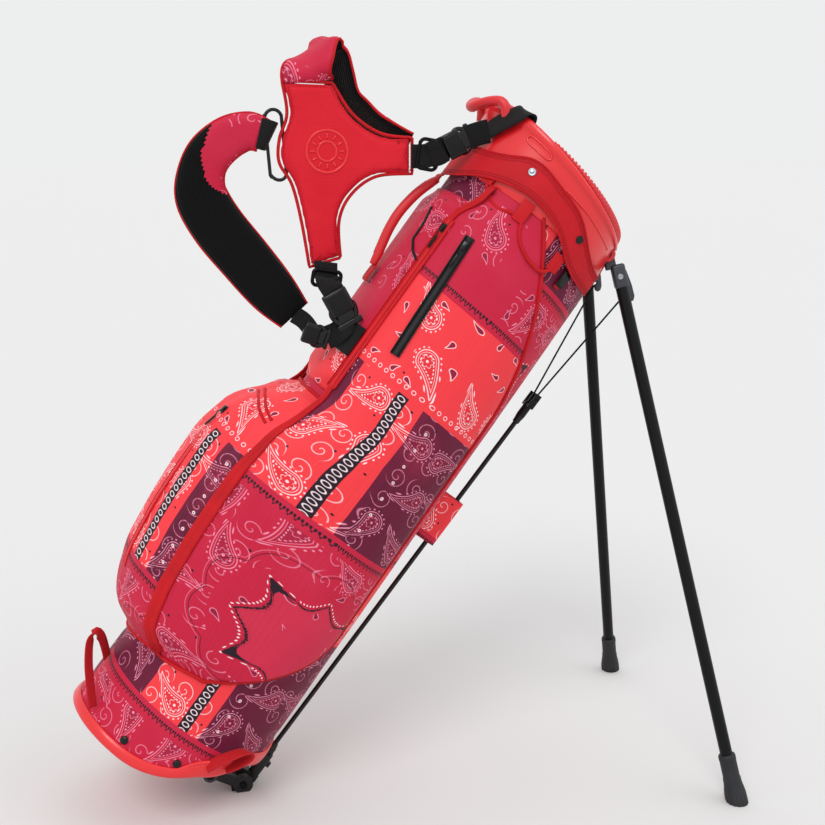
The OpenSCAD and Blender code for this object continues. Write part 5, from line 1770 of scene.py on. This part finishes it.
def harness():
    harness_pad()
    badge()
    shoulder_strap("strap_upper", STRAP_UPPER, "shoulder_strap_upper", (90, 560))
    shoulder_strap("strap_lower", STRAP_LOWER, "shoulder_strap_lower", (20, 545), (130, 45))
    # Oval wire ring that joins the lower strap to the yoke.
    ring = []
    for a in np.linspace(0, 2 * math.pi, 64, endpoint=False):
        x, z = 8.5 * math.cos(a), 30 * np.sign(math.sin(a)) + 8.5 * math.sin(a)
        x -= 4.0 * (1 - (z / 39) ** 2) * (x < 0)
        ring.append((68 + x - 0.07 * z, -18.5, 786 + z))
    r = tube("oval_ring", ring, 2.0, BLACK_GLOSS, "harness", closed=True, sides=12, step=2.0)
    mark(r, "strap_ring")
    a = loop_piece("slider_right", (241, -27, 775), -10, 27, 37, 1.9, DARK_STEEL, "harness")
    b = loop_piece("slider_low", (120, -32, 637), 80, 22, 36, 1.9, DARK_STEEL, "harness")
    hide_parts("strap_sliders")
    for o in (a, b):
        mark(o)
    k1 = side_release("buckle_right", (274, -38, 789), 26, 34, 31, 10, "harness")
    k2 = side_release("buckle_low", (133, -54, 605), -62, 46, 31, 12, "harness")
    k3 = side_release("buckle_strap", (104, -46, 574), -20, 32, 24, 11, "harness")
    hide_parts("strap_buckles")
    for o in (k1, k2, k3):
        mark(o)

    def side_of(ang):
        return (-math.sin(math.radians(ang)), 0, math.cos(math.radians(ang)))

    webs = [("web_right_a",
             [(222, -24, 773), (232, -27, 773), (240, -29, 774), (248, -31, 778), (258, -36, 782)], -6),
            ("web_right_b",
             [(256, -39, 780), (250, -36, 776), (242, -31, 774), (246, -28, 776), (256, -31, 781),
              (262, -34, 784)], 16),
            ("web_right_c", [(284, -40, 794), (292, -42, 797), (302, -45, 800), (307, -47, 801)], 24),
            ("web_low_a",
             [(121, -24, 655), (120, -29, 646), (120, -34, 636), (122, -39, 628), (127, -48, 618)], 78),
            ("web_low_b",
             [(126, -52, 622), (121, -47, 632), (119, -38, 638), (124, -36, 628), (131, -46, 616)], 76),
            ("web_strap", [(84, -19, 595), (92, -28, 590), (97, -36, 584), (100, -44, 578)], -38),
            ("web_low_c", [(116, -47, 571), (124, -50, 575), (132, -55, 583), (139, -56, 592)], -20),
            ("web_ring",
             [(48, -25, 799), (54, -26, 797.5), (59, -25.6, 796), (62.4, -20, 795), (59, -14.5, 796),
              (50, -14, 798.5)], -27)]
    for name, path, ang in webs:
        w = strap(name, path, 34 if "ring" in name else 27 if "strap" not in name else 20, 1.6, side_of(ang),
                  WEB_BLACK, "harness", step=2.0)
        mark(w)
    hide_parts("strap_webbing")


def anchors():
    """Webbing sewn to the bag at both ends of the harness."""
    pts = [on_body(t, c, off).ravel()
           for t, c, off in ((-161, 818, 13.2), (-157, 829, 14.2), (-152, 841, 14.6), (-148, 852, 14),
                             (-146, 859, 12.6), (-145, 861.5, 9), (-144.5, 861, 5), (-144, 856, 2.6),
                             (-143.5, 846, 1.6), (-143, 836, 1.2))]
    across = np.array([math.sin(rad(151)), math.cos(rad(151)), 0])
    sides = [row_mm(across * 0.73 - np.array([0, 0, 0.68])),
             row_mm(across * 0.8 - np.array([0, 0, 0.5]))] + [row_mm(across)] * 2
    a = strap("anchor_upper", row_mm(pts), 26, 1.8, sides, WEB_BLACK, "bag", step=2.0)
    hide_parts("harness_anchor_upper")
    q = [outer_form(-154, c).ravel() + normal_of(outer_form, -154.0, float(c)).ravel() * 4.4
         for c in (519, 530, 544, 556)]
    b = strap("anchor_lower", row_mm(q), 25, 1.8, row_mm([math.sin(rad(154)), math.cos(rad(154)), 0]),
              WEB_BLACK, "bag")
    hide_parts("harness_anchor_lower")
    for o in (a, b):
        mark(o)


stand()
boss_faces()
harness()
anchors()

# ---------------------------------------------------------------- finishes on the frame's own nodes
FINISH = {
    "heel_bracket": GUNMETAL, "heel_pin": DARK_STEEL, "kick_foot": SLEEVE_RUBBER,
    "foot_link_pin": DARK_STEEL, "leg_hinge_block": CORAL_GLOSS, "leg_pins": BLACK_GLOSS,
    "stay_rods": FIBREGLASS, "leg_tube_near": BLACK_TUBE, "leg_tube_far": BLACK_TUBE,
    "leg_rivet_near": STEEL, "leg_rivet_far": STEEL, "rod_sleeve": SLEEVE_RUBBER, "push_rod": BLACK_GLOSS,
    "rod_yoke": BLACK_PLASTIC, "yoke_pins": DARK_STEEL, "wire_near": DARK_STEEL, "wire_far": DARK_STEEL,
}
for node_name, material in FINISH.items():
    node = NODES[node_name]
    node.data.materials.clear()
    node.data.materials.append(material)
    for poly in node.data.polygons:
        poly.use_smooth = True
    node.data.set_sharp_from_angle(angle=math.radians(32))
